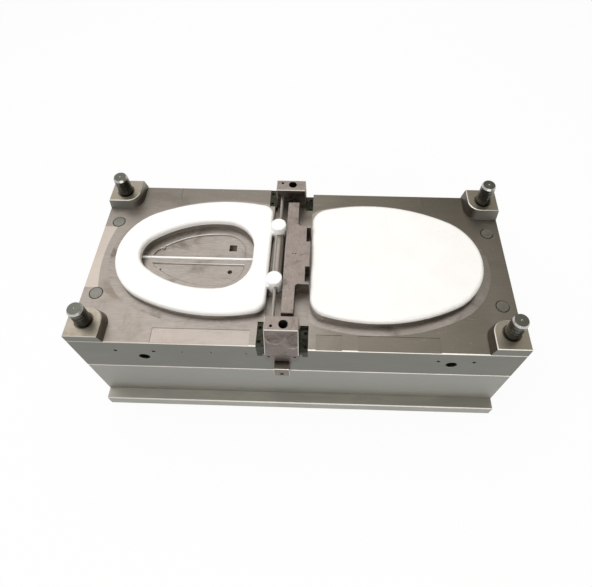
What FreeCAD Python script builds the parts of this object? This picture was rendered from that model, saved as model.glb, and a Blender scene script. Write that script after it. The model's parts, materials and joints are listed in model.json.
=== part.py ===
"""Moving half of a two-cavity injection mould for a toilet seat and its lid.

The half lies on its clamp plate, cores up: X runs along the mould with the seat at -X and the lid
at +X, Y runs to the back, Z is up, and the origin is the middle of the clamp plate's underside.
Both mouldings and the cold runner are still on their cores. Millimetres throughout.
"""

import FreeCAD, Part
import math
import os
import re

import Sketcher
from FreeCAD import Rotation, Vector

SIZES = {
    # plates and rails
    "plate_length": 1080,
    "plate_width": 492,
    "flange": 30,
    "clamp_plate_thickness": 38,
    "rail_width": 68,
    "box_height": 168,
    "lid_side_thickness": 124,
    "side_step": 15,
    "edge_chamfer": 2.5,
    "fit_gap": 0.05,
    "running_gap": 0.2,
    # corner bosses and guide pillars
    "boss_length": 80,
    "boss_width": 76,
    "boss_corner_radius": 32,
    "boss_taper": 7,
    "seat_boss_height": 26,
    "lid_boss_height": 33,
    "pillar_inset_x": 40,
    "pillar_inset_y": 42,
    "pillar_radius": 19,
    "pillar_top": 428,
    "pillar_shoulder_radius": 22,
    "pillar_head_radius": 26,
    "pillar_head_height": 8,
    "pillar_chamfer": 3,
    "pillar_groove_width": 2.5,
    "pillar_groove_depth": 1.2,
    "pillar_groove_pitch": 11,
    "pillar_centre_radius": 2.5,
    "pillar_ring_depth": 2,
    # ejector box
    "rest_button_height": 6,
    "rest_button_radius": 14,
    "ejector_base_thickness": 30,
    "ejector_retainer_thickness": 26,
    "ejector_side_gap": 5,
    "ejector_end_gap": 10,
    "support_pillar_radius": 25,
    "support_pillar_gap": 3,
    "support_spread": 70,
    "lid_support_inner": 45,
    "lid_support_outer": 105,
    "guide_pin_inset_x": 108,
    "guide_pin_inset_y": 106,
    "guide_pin_radius": 12,
    "guide_bush_radius": 18,
    "guide_pin_seat": 12,
    "return_pin_inset_x": 34,
    "return_pin_inset_y": 132,
    "return_pin_radius": 15,
    "return_pin_head_radius": 20,
    "pin_head_height": 8,
    "return_pin_mouth": 1.5,
    "spring_inner_radius": 17,
    "spring_outer_radius": 24,
    "ejector_pin_radius": 4,
    "ejector_pin_head_radius": 7,
    "puller_pin_radius": 3,
    "knock_out_radius": 25,
    # screws
    "clamp_screw_inset": 90,
    "clamp_screw_radius": 8,
    "clamp_screw_head_radius": 12,
    "clamp_screw_head_height": 16,
    "clamp_screw_grip": 30,
    "head_gap": 1,
    "ejector_screw_radius": 5,
    "ejector_screw_head_radius": 8,
    "ejector_screw_head_height": 10,
    "ejector_screw_grip": 18,
    "ejector_screw_inset": 54,
    "ejector_screw_end_y": 42,
    "ejector_screw_middle_x": 150,
    "ejector_screw_side_inset": 21,
    "small_screw_radius": 3,
    "small_screw_head_radius": 5,
    "small_screw_head_height": 6,
    "hex_depth": 4,
    # lifting holes and cooling
    "front_lifting_hole_inset": 164,
    "back_lifting_hole_inset": 192,
    "lifting_hole_height": 62,
    "lifting_hole_radius": 12,
    "seat_lifting_hole_depth": 48,
    "lid_lifting_hole_depth": 43,
    "lifting_hole_mouth": 2,
    "seat_port_height": 94,
    "lid_port_height": 80,
    "seat_port_inset": 102,
    "seat_port_spacing": 93,
    "lid_port_inset": 113,
    "lid_port_spacing": 86,
    "port_radius": 4.5,
    "port_depth": 60,
    "plug_radius": 5,
    "plug_length": 12,
    "plug_gap": 42,
    "plug_inner_spacing": 84,
    "plug_outer_spacing": 70,
    # parting surface relief
    "land_width": 24,
    "relief_depth": 1.2,
    "relief_width": 41,
    "front_relief_inset": 195,
    "back_relief_inset": 188,
    "lid_relief_inset": 200,
    "relief_channel_gap": 32,
    "relief_gib_gap": 18.5,
    "relief_inner_length": 62,
    "relief_split": 38,
    # seat moulding and core
    "seat_edge": 79,
    "seat_end_margin": 64,
    "seat_widest": 200,
    "seat_half_width": 176,
    "seat_end_radius": 146,
    "seat_corner_radius": 32,
    "opening_edge": 123,
    "opening_end_inset": 63,
    "opening_widest": 225,
    "opening_half_width": 105,
    "opening_end_radius": 60,
    "opening_corner_radius": 85,
    "seat_rim_height": 11,
    "seat_crown_height": 27,
    "seat_crown_radius": 8,
    "wall": 4,
    "release_gap": 0.3,
    "plinth_inset": 2,
    "insert_depth": 40,
    "floor_depth": 3,
    "d_pocket_inset": 24,
    "d_pocket_depth": 4,
    "d_pocket_back": 9,
    "d_pocket_front": 17,
    "square_hole": 20,
    "square_hole_inset": 59,
    "square_hole_y": 38,
    "round_hole_radius": 6,
    "opening_hole_depth": 20,
    "core_pin_inset": 47,
    "core_pin_y": 33,
    "core_pin_radius": 4,
    "runner_width": 6,
    "runner_height": 5,
    "runner_draft": 0.6,
    "lug_x": 61,
    "lug_y": 83,
    "lug_radius": 19.5,
    "lug_top": 45,
    "lug_neck": 28,
    "lug_edge_radius": 3,
    "seat_pin_edge_inset": 22,
    "seat_pin_end_inset": 33,
    "seat_pin_side_inset": 36,
    # lid moulding and core
    "lid_edge": 27,
    "lid_end_margin": 70,
    "lid_widest": 185,
    "lid_half_width": 181,
    "lid_end_radius": 148,
    "lid_corner_radius": 48,
    "lid_rim_height": 16,
    "lid_crown_height": 31,
    "lid_crown_radius": 9,
    # hinge channel, centre plate and ridge
    "channel_left": 80,
    "centre_left": 40,
    "centre_right": 24,
    "centre_neck_right": 10,
    "centre_half_width": 91,
    "centre_end_gap": 21,
    "centre_height": 45,
    "centre_corner_radius": 8,
    "notch_width": 11,
    "notch_inner": 39,
    "notch_outer": 84,
    "spanner_plug_x": 16,
    "spanner_plug_radius": 7,
    "spanner_plug_depth": 10,
    "ridge_x": 58.5,
    "ridge_radius": 15,
    "ridge_axis_height": 25,
    "ridge_half_length": 62,
    "hinge_bar_half_width": 18,
    "hinge_bar_half_length": 104,
    # slides
    "slide_x": 34.5,
    "slide_width": 80,
    "slide_seat_length": 52,
    "slide_flat": 37,
    "slide_overhang": 12,
    "slide_floor": 85,
    "slide_shoulder": 122,
    "slide_height": 109,
    "slide_stroke": 26,
    "slide_rail_reach": 8,
    "slide_rail_height": 12,
    "angle_hole_x": 30,
    "angle_hole_inset": 31,
    "angle_hole_radius": 11,
    "angle_hole_tilt": 18,
    "angle_hole_depth": 84,
    "rod_x": 58,
    "rod_height": 166,
    "rod_radius": 4.5,
    "rod_in_slide": 26,
    "rod_in_lug": 20,
    "rod_screw_radius": 3.5,
    "wear_plate_thickness": 6,
    "stop_pin_radius": 5,
    "stop_pin_height": 9,
    "stop_pin_x": 56,
    "stop_pin_inset": 8,
    "gib_width": 21,
    "gib_length": 64,
    "seat_gib_drop": 4,
    "lid_gib_drop": 14,
    "stop_block_width": 38,
    "stop_block_x": 36,
    "stop_block_depth": 29,
    "stop_block_low": 34,
    "stop_block_height": 40,
    "stop_screw_height": 12,
    "face_hole_radius": 3.5,
    "face_hole_depth": 10,
    "face_hole_inset": 9,
    "face_hole_height": 24,
}

doc = FreeCAD.newDocument("injection_mould")
sheet = doc.addObject("Spreadsheet::Sheet", "Sizes")
for row, (alias, number) in enumerate(SIZES.items(), start=1):
    sheet.set(f"A{row}", alias)
    sheet.set(f"B{row}", str(number))
    sheet.setAlias(f"B{row}", alias)
doc.recompute()

# Heights above the clamp plate's underside, from the plates that are stacked there.
Z_RAIL = "clamp_plate_thickness"
Z_CORE = "(clamp_plate_thickness + box_height)"
Z_LID = f"({Z_CORE} + lid_side_thickness)"
Z_SEAT = f"({Z_LID} + side_step)"
Z_EJECTOR = f"({Z_RAIL} + rest_button_height)"
Z_HEADS = f"({Z_EJECTOR} + ejector_base_thickness)"
Z_RETAINER = f"({Z_HEADS} + ejector_retainer_thickness)"
Z_SEAT_INSERT = f"({Z_SEAT} - insert_depth)"
Z_LID_INSERT = f"({Z_LID} - insert_depth)"
Z_FLOOR = f"({Z_SEAT} - floor_depth)"
Z_SEAT_RIM = f"({Z_SEAT} + seat_rim_height)"
Z_LID_RIM = f"({Z_LID} + lid_rim_height)"
Z_SLIDE = f"({Z_CORE} + slide_floor)"
Z_SLIDE_TOP = f"({Z_SLIDE} + slide_height)"
Z_ROD = f"({Z_CORE} + rod_height)"
Z_PILLAR = "pillar_top"
BOSS_TOPS = {-1: f"({Z_SEAT} + seat_boss_height)", 1: f"({Z_LID} + lid_boss_height)"}
X_END = "(plate_length / 2)"
Y_SIDE = "(plate_width / 2)"
PILLAR_X = f"({X_END} - pillar_inset_x)"
PILLAR_Y = f"({Y_SIDE} - pillar_inset_y)"
GUIDE_X = f"({X_END} - guide_pin_inset_x)"
GUIDE_Y = f"({Y_SIDE} - guide_pin_inset_y)"
RETURN_X = f"({X_END} - return_pin_inset_x)"
RETURN_Y = f"({Y_SIDE} - return_pin_inset_y)"
EJECTOR_END = f"({X_END} - ejector_end_gap)"
EJECTOR_SIDE = f"({Y_SIDE} - rail_width - ejector_side_gap)"
SEAT_END = f"({X_END} - seat_end_margin)"
OPENING_END = f"({SEAT_END} - opening_end_inset)"
LID_END = f"({X_END} - lid_end_margin)"
ENDS = {"seat": SEAT_END, "opening": OPENING_END, "lid": LID_END}
# The middle of the seat's ejector pins, and how far they reach from it each way.
SEAT_PIN_X = f"((seat_edge + seat_pin_edge_inset + {SEAT_END} - seat_pin_end_inset) / 2)"
SEAT_PIN_REACH_X = f"((({SEAT_END} - seat_pin_end_inset) - (seat_edge + seat_pin_edge_inset)) / 2)"
SEAT_PIN_REACH_Y = "(seat_half_width - seat_pin_side_inset)"
CORE_PIN_X = f"({OPENING_END} - core_pin_inset)"
SQUARE_HOLE_X = "(opening_edge + square_hole_inset)"
SLIDE_LEFT = "(-slide_x - slide_width / 2)"
SLIDE_RIGHT = "(-slide_x + slide_width / 2)"
SLIDE_INNER = f"({Y_SIDE} - slide_seat_length)"
SLIDE_OUTER = f"({Y_SIDE} + slide_overhang)"
ANGLE_HOLE_Y = f"({Y_SIDE} - angle_hole_inset)"
STOP_PIN_Y = f"({Y_SIDE} - stop_pin_inset)"
ROD_END = "(lug_y + lug_radius - rod_in_lug)"
FRONT, BACK = -1, 1
SIDES = {"front": FRONT, "back": BACK}
CORNERS = {
    "front_left": (-1, FRONT),
    "front_right": (1, FRONT),
    "back_left": (-1, BACK),
    "back_right": (1, BACK),
}
TURN = {
    "+z": Rotation(),
    "+y": Rotation(Vector(1, 0, 0), -90),
    "-y": Rotation(Vector(1, 0, 0), 90),
    "+x": Rotation(Vector(0, 1, 0), 90),
}

nodes = {}


def formula(text):
    """The same text with each alias written as a reference to its cell."""
    return re.sub(r"[a-z][a-z_]*", lambda word: word_reference(word.group(0)), str(text))


def word_reference(word):
    return f"Sizes.{word}" if word in SIZES else word


def value(text):
    """What a formula of aliases comes to, in millimetres."""
    return float(sheet.evalExpression(formula(text)))


def bind(thing, prop, text):
    thing.setExpression(prop, formula(text))


def node(name, thing):
    """Files a finished sub-part under the name that its own file takes."""
    thing.Label = name
    nodes[name] = thing
    return thing


def block(name, x_span, y_span, z_span):
    """A box between two formulas along each axis."""
    box = doc.addObject("Part::Box", name)
    spans = zip(("Length", "Width", "Height"), "xyz", (x_span, y_span, z_span))
    for prop, axis, (low, high) in spans:
        bind(box, prop, f"({high}) - ({low})")
        bind(box, f"Placement.Base.{axis}", low)
    return box


def place(thing, x, y, z, axis="+z"):
    """Stands a thing at x, y, z with its own Z turned to an axis."""
    thing.Placement = FreeCAD.Placement(Vector(), TURN[axis])
    for letter, text in zip("xyz", (x, y, z)):
        bind(thing, f"Placement.Base.{letter}", text)
    return thing


def rod(name, radius, x, y, z, length, axis="+z"):
    """A cylinder that starts at x, y, z and runs along an axis."""
    cylinder = doc.addObject("Part::Cylinder", name)
    bind(cylinder, "Radius", radius)
    bind(cylinder, "Height", length)
    return place(cylinder, x, y, z, axis)


def cone(name, radius_low, radius_high, x, y, z, length, axis="+z"):
    frustum = doc.addObject("Part::Cone", name)
    bind(frustum, "Radius1", radius_low)
    bind(frustum, "Radius2", radius_high)
    bind(frustum, "Height", length)
    return place(frustum, x, y, z, axis)


def fuse(name, *things):
    if len(things) == 1:
        return things[0]
    union = doc.addObject("Part::MultiFuse", name)
    union.Shapes = list(things)
    return union


def cut(name, base, *tools):
    difference = doc.addObject("Part::Cut", name)
    difference.Base = base
    difference.Tool = fuse(f"{name}_tools", *tools)
    return difference


def group(name, things):
    """Separate identical solids that share one node."""
    compound = doc.addObject("Part::Compound", name)
    compound.Links = list(things)
    return node(name, compound)


def formed(name, shape):
    """A sub-part whose shape is worked out below from the sheet's values."""
    feature = doc.addObject("Part::Feature", name)
    feature.Shape = shape
    return feature


def origin_plane(body, role):
    return next(plane for plane in body.Origin.OriginFeatures if plane.Role == role)


def outline_sketch(body, role, points, offset="0"):
    """A closed outline of straight lines on one of the body's own planes, each corner held by
    its distances from the origin."""
    sketch = body.newObject("Sketcher::SketchObject", f"{body.Name}_outline")
    sketch.AttachmentSupport = [(origin_plane(body, role), "")]
    sketch.MapMode = "FlatFace"
    bind(sketch, "AttachmentOffset.Base.z", offset)
    corners = [Vector(value(across), value(up), 0) for across, up in points]
    count = len(corners)
    for index, corner in enumerate(corners):
        sketch.addGeometry(Part.LineSegment(corner, corners[(index + 1) % count]), False)
    for index in range(count):
        following = (index + 1) % count
        sketch.addConstraint(Sketcher.Constraint("Coincident", index, 2, following, 1))
    for index, (across, up) in enumerate(points):
        hold_corner(sketch, index, "DistanceX", across, corners[index].x, axis=-2)
        hold_corner(sketch, index, "DistanceY", up, corners[index].y, axis=-1)
    return sketch


def hold_corner(sketch, index, kind, text, number, axis):
    if text == "0":
        sketch.addConstraint(Sketcher.Constraint("PointOnObject", index, 1, axis))
        return
    row = sketch.addConstraint(Sketcher.Constraint(kind, -1, 1, index, 1, number))
    bind(sketch, f"Constraints[{row}]", text)


def padded(name, role, points, low, high):
    """A body whose outline on an origin plane is padded between two formulas."""
    body = doc.addObject("PartDesign::Body", name)
    sketch = outline_sketch(body, role, points, low)
    pad = body.newObject("PartDesign::Pad", f"{name}_pad")
    pad.Profile = sketch
    bind(pad, "Length", f"({high}) - ({low})")
    sketch.Visibility = False
    return body


def turned(name, points):
    """A body whose half outline, radius and height, is revolved about its Z axis."""
    body = doc.addObject("PartDesign::Body", name)
    sketch = outline_sketch(body, "XZ_Plane", points)
    revolution = body.newObject("PartDesign::Revolution", f"{name}_revolution")
    revolution.Profile = sketch
    revolution.ReferenceAxis = (sketch, ["V_Axis"])
    revolution.Angle = 360
    return body


def signed(side, text):
    return f"-({text})" if side < 0 else f"({text})"


def span(side, low, high):
    """The stretch from low to high on one side of the middle, in rising order."""
    if side < 0:
        return (signed(side, high), signed(side, low))
    return (signed(side, low), signed(side, high))


# Outlines of the two mouldings


def egg_arcs(kind, direction):
    """Centres and radii of an outline that is symmetric about the X axis: a straight hinge edge,
    two corner arcs, two long side arcs and one end arc, each tangent to the next."""
    edge, widest = direction * value(f"{kind}_edge"), direction * value(f"{kind}_widest")
    end = direction * value(ENDS[kind])
    half_width = value(f"{kind}_half_width")
    end_radius = value(f"{kind}_end_radius")
    corner_radius = value(f"{kind}_corner_radius")
    end_centre = end - direction * end_radius
    reach = end_centre - widest
    side_radius = (reach**2 + half_width**2 - end_radius**2) / (2 * (half_width - end_radius))
    side_centre_y = half_width - side_radius
    corner_x = edge + direction * corner_radius
    across = corner_x - widest
    corner_y = side_centre_y + math.sqrt((side_radius - corner_radius) ** 2 - across**2)
    return {
        "edge": edge,
        "end": (Vector(end_centre, 0, 0), end_radius),
        "side": (Vector(widest, side_centre_y, 0), side_radius),
        "corner": (Vector(corner_x, corner_y, 0), corner_radius),
        "direction": direction,
    }


def arc_between(centre, radius, start, finish):
    """The arc about a centre from the bearing of one point to the bearing of another."""
    first = (start - centre).normalize() * radius
    last = (finish - centre).normalize() * radius
    middle = (first + last).normalize() * radius
    return Part.Arc(centre + first, centre + middle, centre + last).toShape()


def egg_wire(kind, direction, inset, height):
    """The outline drawn inset (a negative inset lies outside) at one height."""
    arcs = egg_arcs(kind, direction)
    end_centre, end_radius = arcs["end"]
    side_centre, side_radius = arcs["side"]
    corner_centre, corner_radius = arcs["corner"]
    end_radius, side_radius = end_radius - inset, side_radius - inset
    corner_radius = corner_radius - inset
    to_end = side_centre + (end_centre - side_centre).normalize() * side_radius
    to_corner = side_centre + (corner_centre - side_centre).normalize() * side_radius
    edge_point = corner_centre - Vector(direction * corner_radius, 0, 0)
    upper = [
        arc_between(side_centre, side_radius, to_end, to_corner),
        arc_between(corner_centre, corner_radius, to_corner, edge_point),
    ]
    lower = [edge.mirror(Vector(), Vector(0, 1, 0)) for edge in upper]
    tip = end_centre + Vector(direction * end_radius, 0, 0)
    end_arc = Part.Arc(to_end, tip, Vector(to_end.x, -to_end.y, 0)).toShape()
    hinge_edge = Part.LineSegment(edge_point, Vector(edge_point.x, -edge_point.y, 0)).toShape()
    edges = Part.__sortEdges__([end_arc, hinge_edge] + upper + lower)
    wire = Part.Wire(edges)
    wire.translate(Vector(0, 0, height))
    return wire


def egg_prism(kind, direction, inset, low, high):
    face = Part.Face(egg_wire(kind, direction, inset, low))
    return face.extrude(Vector(0, 0, high - low))


def round_top(solid, radius):
    """Rounds every edge of the top face."""
    top = solid.BoundBox.ZMax
    edges = [edge for edge in solid.Edges if abs(edge.BoundBox.ZMin - top) < 1e-6]
    return solid.makeFillet(radius, edges)


def ring(inset, opening_inset, low, high, radius=0.0):
    """The seat's ring: its outline less its opening, with rounded upper edges."""
    solid = egg_prism("seat", -1, inset, low, high)
    solid = solid.cut(egg_prism("opening", -1, -opening_inset, low, high))
    return round_top(solid, radius) if radius else solid


def box_solid(x_span, y_span, z_span):
    low, high = zip(x_span, y_span, z_span)
    size = Vector(*high) - Vector(*low)
    return Part.makeBox(size.x, size.y, size.z, Vector(*low))


def upright(radius, x, y, low, high):
    return Part.makeCylinder(radius, high - low, Vector(x, y, low))


# Where the pins and pillars of the ejector box stand


def seat_pin_places():
    """Ten places on an ellipse along the middle of the seat's ring."""
    places = []
    for index in range(10):
        angle = math.radians(18 + 36 * index)
        x = f"(-{SEAT_PIN_X} + {SEAT_PIN_REACH_X} * {math.cos(angle):.6f})"
        y = f"({SEAT_PIN_REACH_Y} * {math.sin(angle):.6f})"
        places.append((x, y))
    return places


def lid_pin_places():
    """Eight places under the lid, in shares of its length and half width."""
    shares = ((0.16, 0.62), (0.16, -0.62), (0.48, 0.72), (0.48, -0.72))
    shares += ((0.8, 0.55), (0.8, -0.55), (0.1, 0), (0.9, 0))
    places = []
    for along, across in shares:
        x = f"(lid_edge + ({LID_END} - lid_edge) * {along})"
        places.append((x, f"(lid_half_width * {across})"))
    return places


SUPPORT_PLACES = (
    (f"-({SEAT_PIN_X} + support_spread)", "0"),
    (f"-({SEAT_PIN_X} - support_spread)", "0"),
    ("-slide_x", "centre_half_width"),
    ("-slide_x", "-centre_half_width"),
    ("lid_widest - lid_support_inner", "0"),
    ("lid_widest + lid_support_outer", "0"),
)
CLAMP_SCREW_SHARES = (-1, -0.34, 0.34, 1)


def four_places(x, y):
    return [(signed(x_sign, x), signed(y_sign, y)) for x_sign, y_sign in CORNERS.values()]


EJECTOR_SCREW_PLACES = [
    (f"{x_sign}({x})", f"{y_sign}({y})")
    for x, y in (
        (f"{EJECTOR_END} - ejector_screw_inset", "ejector_screw_end_y"),
        ("ejector_screw_middle_x", f"{EJECTOR_SIDE} - ejector_screw_side_inset"),
    )
    for x_sign in ("-", "")
    for y_sign in ("-", "")
]
RETURN_PLACES = four_places(RETURN_X, RETURN_Y)
RETURN_TOPS = [Z_SEAT if x_sign < 0 else Z_LID for x_sign, _ in CORNERS.values()]
GUIDE_PLACES = four_places(GUIDE_X, GUIDE_Y)


def holes(name, places, radius, low, high):
    """Upright round holes of one size, as one cutter."""
    height = f"({high}) - ({low})"
    return [
        rod(f"{name}_{index}", radius, x, y, low, height) for index, (x, y) in enumerate(places)
    ]


def clamp_screw_places(*sides):
    """Along the middle of the rail on each of the named sides."""
    middle = f"{Y_SIDE} - rail_width / 2"
    return [
        (f"({X_END} - clamp_screw_inset) * {share}", signed(side, middle))
        for side in sides or (FRONT, BACK)
        for share in CLAMP_SCREW_SHARES
    ]


def socket_screw(name, radius, head_radius, head_height, x, y, z, length, axis):
    """A socket head screw whose head face lies at x, y, z and whose shank runs along the axis."""
    head = rod(f"{name}_head", head_radius, x, y, z, head_height, axis)
    shank = rod(f"{name}_shank", radius, x, y, z, length, axis)
    hexagon = doc.addObject("Part::Prism", f"{name}_hexagon")
    hexagon.Polygon = 6
    bind(hexagon, "Circumradius", f"{radius} * 0.9")
    bind(hexagon, "Height", "hex_depth")
    place(hexagon, x, y, z, axis)
    return cut(f"{name}_screw", fuse(f"{name}_body", head, shank), hexagon)


# Plates and rails


def make_clamp_plate():
    side = f"({Y_SIDE} + flange)"
    top = Z_RAIL
    chamfer = "edge_chamfer"
    plate = padded(
        "clamp_plate_blank",
        "YZ_Plane",
        [
            (f"-{side}", "0"),
            (side, "0"),
            (side, f"{top} - {chamfer}"),
            (f"{side} - {chamfer}", top),
            (f"-{side} + {chamfer}", top),
            (f"-{side}", f"{top} - {chamfer}"),
        ],
        f"-{X_END}",
        X_END,
    )
    knock_out = rod("knock_out_hole", "knock_out_radius", "0", "0", "0", top)
    shanks = holes("clamp_screw_hole", clamp_screw_places(), "clamp_screw_radius", "0", top)
    sunk = "clamp_screw_head_height + head_gap"
    wide = "clamp_screw_head_radius + head_gap"
    heads = holes("clamp_screw_recess", clamp_screw_places(), wide, "0", sunk)
    node("bottom_clamp_plate", cut("clamp_plate", plate, knock_out, *shanks, *heads))


def make_rails():
    for name, side in SIDES.items():
        outer = signed(side, Y_SIDE)
        inner = signed(side, f"{Y_SIDE} - rail_width")
        bevel = signed(side, f"{Y_SIDE} - edge_chamfer")
        rail = padded(
            f"rail_{name}_blank",
            "YZ_Plane",
            [
                (inner, Z_RAIL),
                (outer, Z_RAIL),
                (outer, f"{Z_CORE} - edge_chamfer"),
                (bevel, Z_CORE),
                (inner, Z_CORE),
            ],
            f"-{X_END}",
            X_END,
        )
        places = clamp_screw_places(side)
        bores = holes(f"rail_{name}_hole", places, "clamp_screw_radius + fit_gap", Z_RAIL, Z_CORE)
        node(f"spacer_rail_{name}", cut(f"rail_{name}", rail, *bores))


def plate_section(top):
    """The core plate's section across Y, with a bevel along each long edge."""
    chamfer = "edge_chamfer"
    return [
        (f"-{Y_SIDE} + {chamfer}", Z_CORE),
        (f"{Y_SIDE} - {chamfer}", Z_CORE),
        (Y_SIDE, f"{Z_CORE} + {chamfer}"),
        (Y_SIDE, f"{top} - {chamfer}"),
        (f"{Y_SIDE} - {chamfer}", top),
        (f"-{Y_SIDE} + {chamfer}", top),
        (f"-{Y_SIDE}", f"{top} - {chamfer}"),
        (f"-{Y_SIDE}", f"{Z_CORE} + {chamfer}"),
    ]


def boss_wire(x_sign, y_sign, grow, height):
    """A corner boss's outline: square to the plate's corner, round at its inner corner."""
    x_out, y_out = value(X_END), value(Y_SIDE)
    x_in = x_out - value("boss_length") - grow
    y_in = y_out - value("boss_width") - grow
    radius = value("boss_corner_radius") + grow
    diagonal = radius * (1 - math.sqrt(0.5))
    corners = [(x_out, y_in), (x_out, y_out), (x_in, y_out), (x_in, y_in + radius)]
    corners += [(x_in + diagonal, y_in + diagonal), (x_in + radius, y_in)]
    spots = [Vector(x_sign * x, y_sign * y, height) for x, y in corners]
    sides = [Part.LineSegment(spots[index], spots[index + 1]).toShape() for index in range(3)]
    sides.append(Part.Arc(spots[3], spots[4], spots[5]).toShape())
    sides.append(Part.LineSegment(spots[5], spots[0]).toShape())
    return Part.Wire(sides)


def make_bosses():
    """Tapered locating bosses, one on each corner of the core plate."""
    bosses = []
    for name, (x_sign, y_sign) in CORNERS.items():
        low = value(Z_SEAT if x_sign < 0 else Z_LID)
        rise = value("seat_boss_height" if x_sign < 0 else "lid_boss_height")
        foot = boss_wire(x_sign, y_sign, value("boss_taper"), low)
        head = boss_wire(x_sign, y_sign, 0, low + rise)
        bosses.append(formed(f"boss_{name}", Part.makeLoft([foot, head], True, True)))
    return bosses


def pillar_bores():
    cutters = []
    for name, (x_sign, y_sign) in CORNERS.items():
        x, y = signed(x_sign, PILLAR_X), signed(y_sign, PILLAR_Y)
        top = BOSS_TOPS[x_sign]
        radius = "pillar_shoulder_radius + fit_gap"
        cutters.append(rod(f"pillar_bore_{name}", radius, x, y, Z_CORE, f"{top} - {Z_CORE}"))
        seat = "pillar_head_radius + head_gap"
        cutters.append(rod(f"pillar_seat_{name}", seat, x, y, Z_CORE, "pillar_head_height"))
    return cutters


def return_pin_bores():
    cutters = []
    for index, ((x, y), top) in enumerate(zip(RETURN_PLACES, RETURN_TOPS)):
        radius = "return_pin_radius + running_gap"
        cutters.append(rod(f"return_bore_{index}", radius, x, y, Z_CORE, f"{top} - {Z_CORE}"))
        low = f"{top} - return_pin_mouth"
        wide = f"{radius} + return_pin_mouth"
        cutters.append(cone(f"return_mouth_{index}", radius, wide, x, y, low, "return_pin_mouth"))
    return cutters


def face_holes():
    """Lifting holes and cooling ports in the long faces of the core plate."""
    cutters = []
    for name, side in SIDES.items():
        inward = "+y" if side < 0 else "-y"
        face = signed(side, Y_SIDE)
        for x_sign in (-1, 1):
            x = signed(x_sign, f"{X_END} - {name}_lifting_hole_inset")
            z = f"{Z_CORE} + lifting_hole_height"
            tag = f"{name}_{x_sign}"
            radius = "lifting_hole_radius"
            mouth = "lifting_hole_mouth"
            depth = "seat_lifting_hole_depth" if x_sign < 0 else "lid_lifting_hole_depth"
            cutters.append(rod(f"lifting_{tag}", radius, x, face, z, depth, inward))
            wide = f"{radius} + {mouth}"
            cutters.append(cone(f"lifting_mouth_{tag}", wide, radius, x, face, z, mouth, inward))
        for index, (x, height) in enumerate(PORT_PLACES):
            z = f"{Z_CORE} + {height}"
            tag = f"port_{name}_{index}"
            cutters.append(rod(tag, "port_radius", x, face, z, "port_depth", inward))
        for index, x in enumerate(PLUG_PLACES):
            z = f"{Z_CORE} + seat_port_height"
            tag = f"plug_hole_{name}_{index}"
            cutters.append(rod(tag, "plug_radius", x, face, z, "plug_length", inward))
    return cutters


PORT_PLACES = (
    (f"-({X_END} - seat_port_inset)", "seat_port_height"),
    (f"-({X_END} - seat_port_inset - seat_port_spacing)", "seat_port_height"),
    (f"({X_END} - lid_port_inset - lid_port_spacing)", "lid_port_height"),
    (f"({X_END} - lid_port_inset)", "lid_port_height"),
)
PLUG_PLACES = (
    "-(channel_left + plug_gap + plug_inner_spacing + plug_outer_spacing)",
    "-(channel_left + plug_gap + plug_inner_spacing)",
    "-(channel_left + plug_gap)",
)


def relief_cutters():
    """Shallow clearances milled in the parting surface between the lands and the long edges."""
    start = f"({SLIDE_RIGHT} + gib_width + relief_gib_gap)"
    stop = f"({start} + relief_inner_length)"
    inner = "-channel_left - relief_channel_gap"
    lid_end = f"({X_END} - lid_relief_inset)"
    cutters = []
    for name, side in SIDES.items():
        y_span = span(side, f"{Y_SIDE} - relief_width", Y_SIDE)
        for part, low, high, top in (
            ("seat", f"-({X_END} - {name}_relief_inset)", inner, Z_SEAT),
            ("lid_inner", start, stop, Z_LID),
            ("lid", f"{stop} + relief_split", lid_end, Z_LID),
        ):
            z_span = (f"{top} - relief_depth", top)
            cutters.append(block(f"relief_{part}_{name}", (low, high), y_span, z_span))
    return cutters


def insert_pocket(kind, direction, low, top):
    """The pocket that an insert sits in, cut to the hinge channel's side of the plate."""
    return formed(f"{kind}_pocket", insert_blank(kind, direction, low, top, value("fit_gap")))


def insert_blank(kind, direction, low, top, grow):
    outline = egg_prism(kind, direction, -value("land_width") - grow, value(low), value(top))
    edge = -value("channel_left") if direction < 0 else value("centre_right") + 1 - grow
    far = direction * value(X_END)
    x_span = (min(edge, far), max(edge, far))
    half = value(Y_SIDE)
    return outline.common(box_solid(x_span, (-half, half), (value(low), value(top))))


def slide_channel_cutters():
    """A channel for each slide with its gibs, open to the long face, and its wear plate's seat."""
    cutters = []
    left, right = SLIDE_LEFT, SLIDE_RIGHT
    for name, side in SIDES.items():
        outer = f"{Y_SIDE} + flange"
        slide_y = span(side, f"{SLIDE_INNER} - running_gap", outer)
        gib_y = span(side, f"{Y_SIDE} - gib_length", outer)
        tall = (Z_SLIDE, Z_SLIDE_TOP)
        slide_x = (f"{left} - running_gap", f"{right} + running_gap")
        cutters.append(block(f"slide_channel_{name}", slide_x, slide_y, tall))
        gib_x = (f"{left} - gib_width", f"{left} + fit_gap")
        cutters.append(block(f"gib_channel_{name}_left", gib_x, gib_y, tall))
        gib_x = (f"{right} - fit_gap", f"{right} + gib_width")
        cutters.append(block(f"gib_channel_{name}_right", gib_x, gib_y, tall))
        low = f"{Z_SLIDE} - wear_plate_thickness"
        wear_y = span(side, SLIDE_INNER, Y_SIDE)
        cutters.append(block(f"wear_seat_{name}", (left, right), wear_y, (low, Z_SLIDE)))
        cutters.append(rod(f"stop_pin_bore_{name}", "stop_pin_radius", "-stop_pin_x",
                           signed(side, STOP_PIN_Y), f"{low} - stop_pin_height", "stop_pin_height"))
    return cutters


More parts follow.
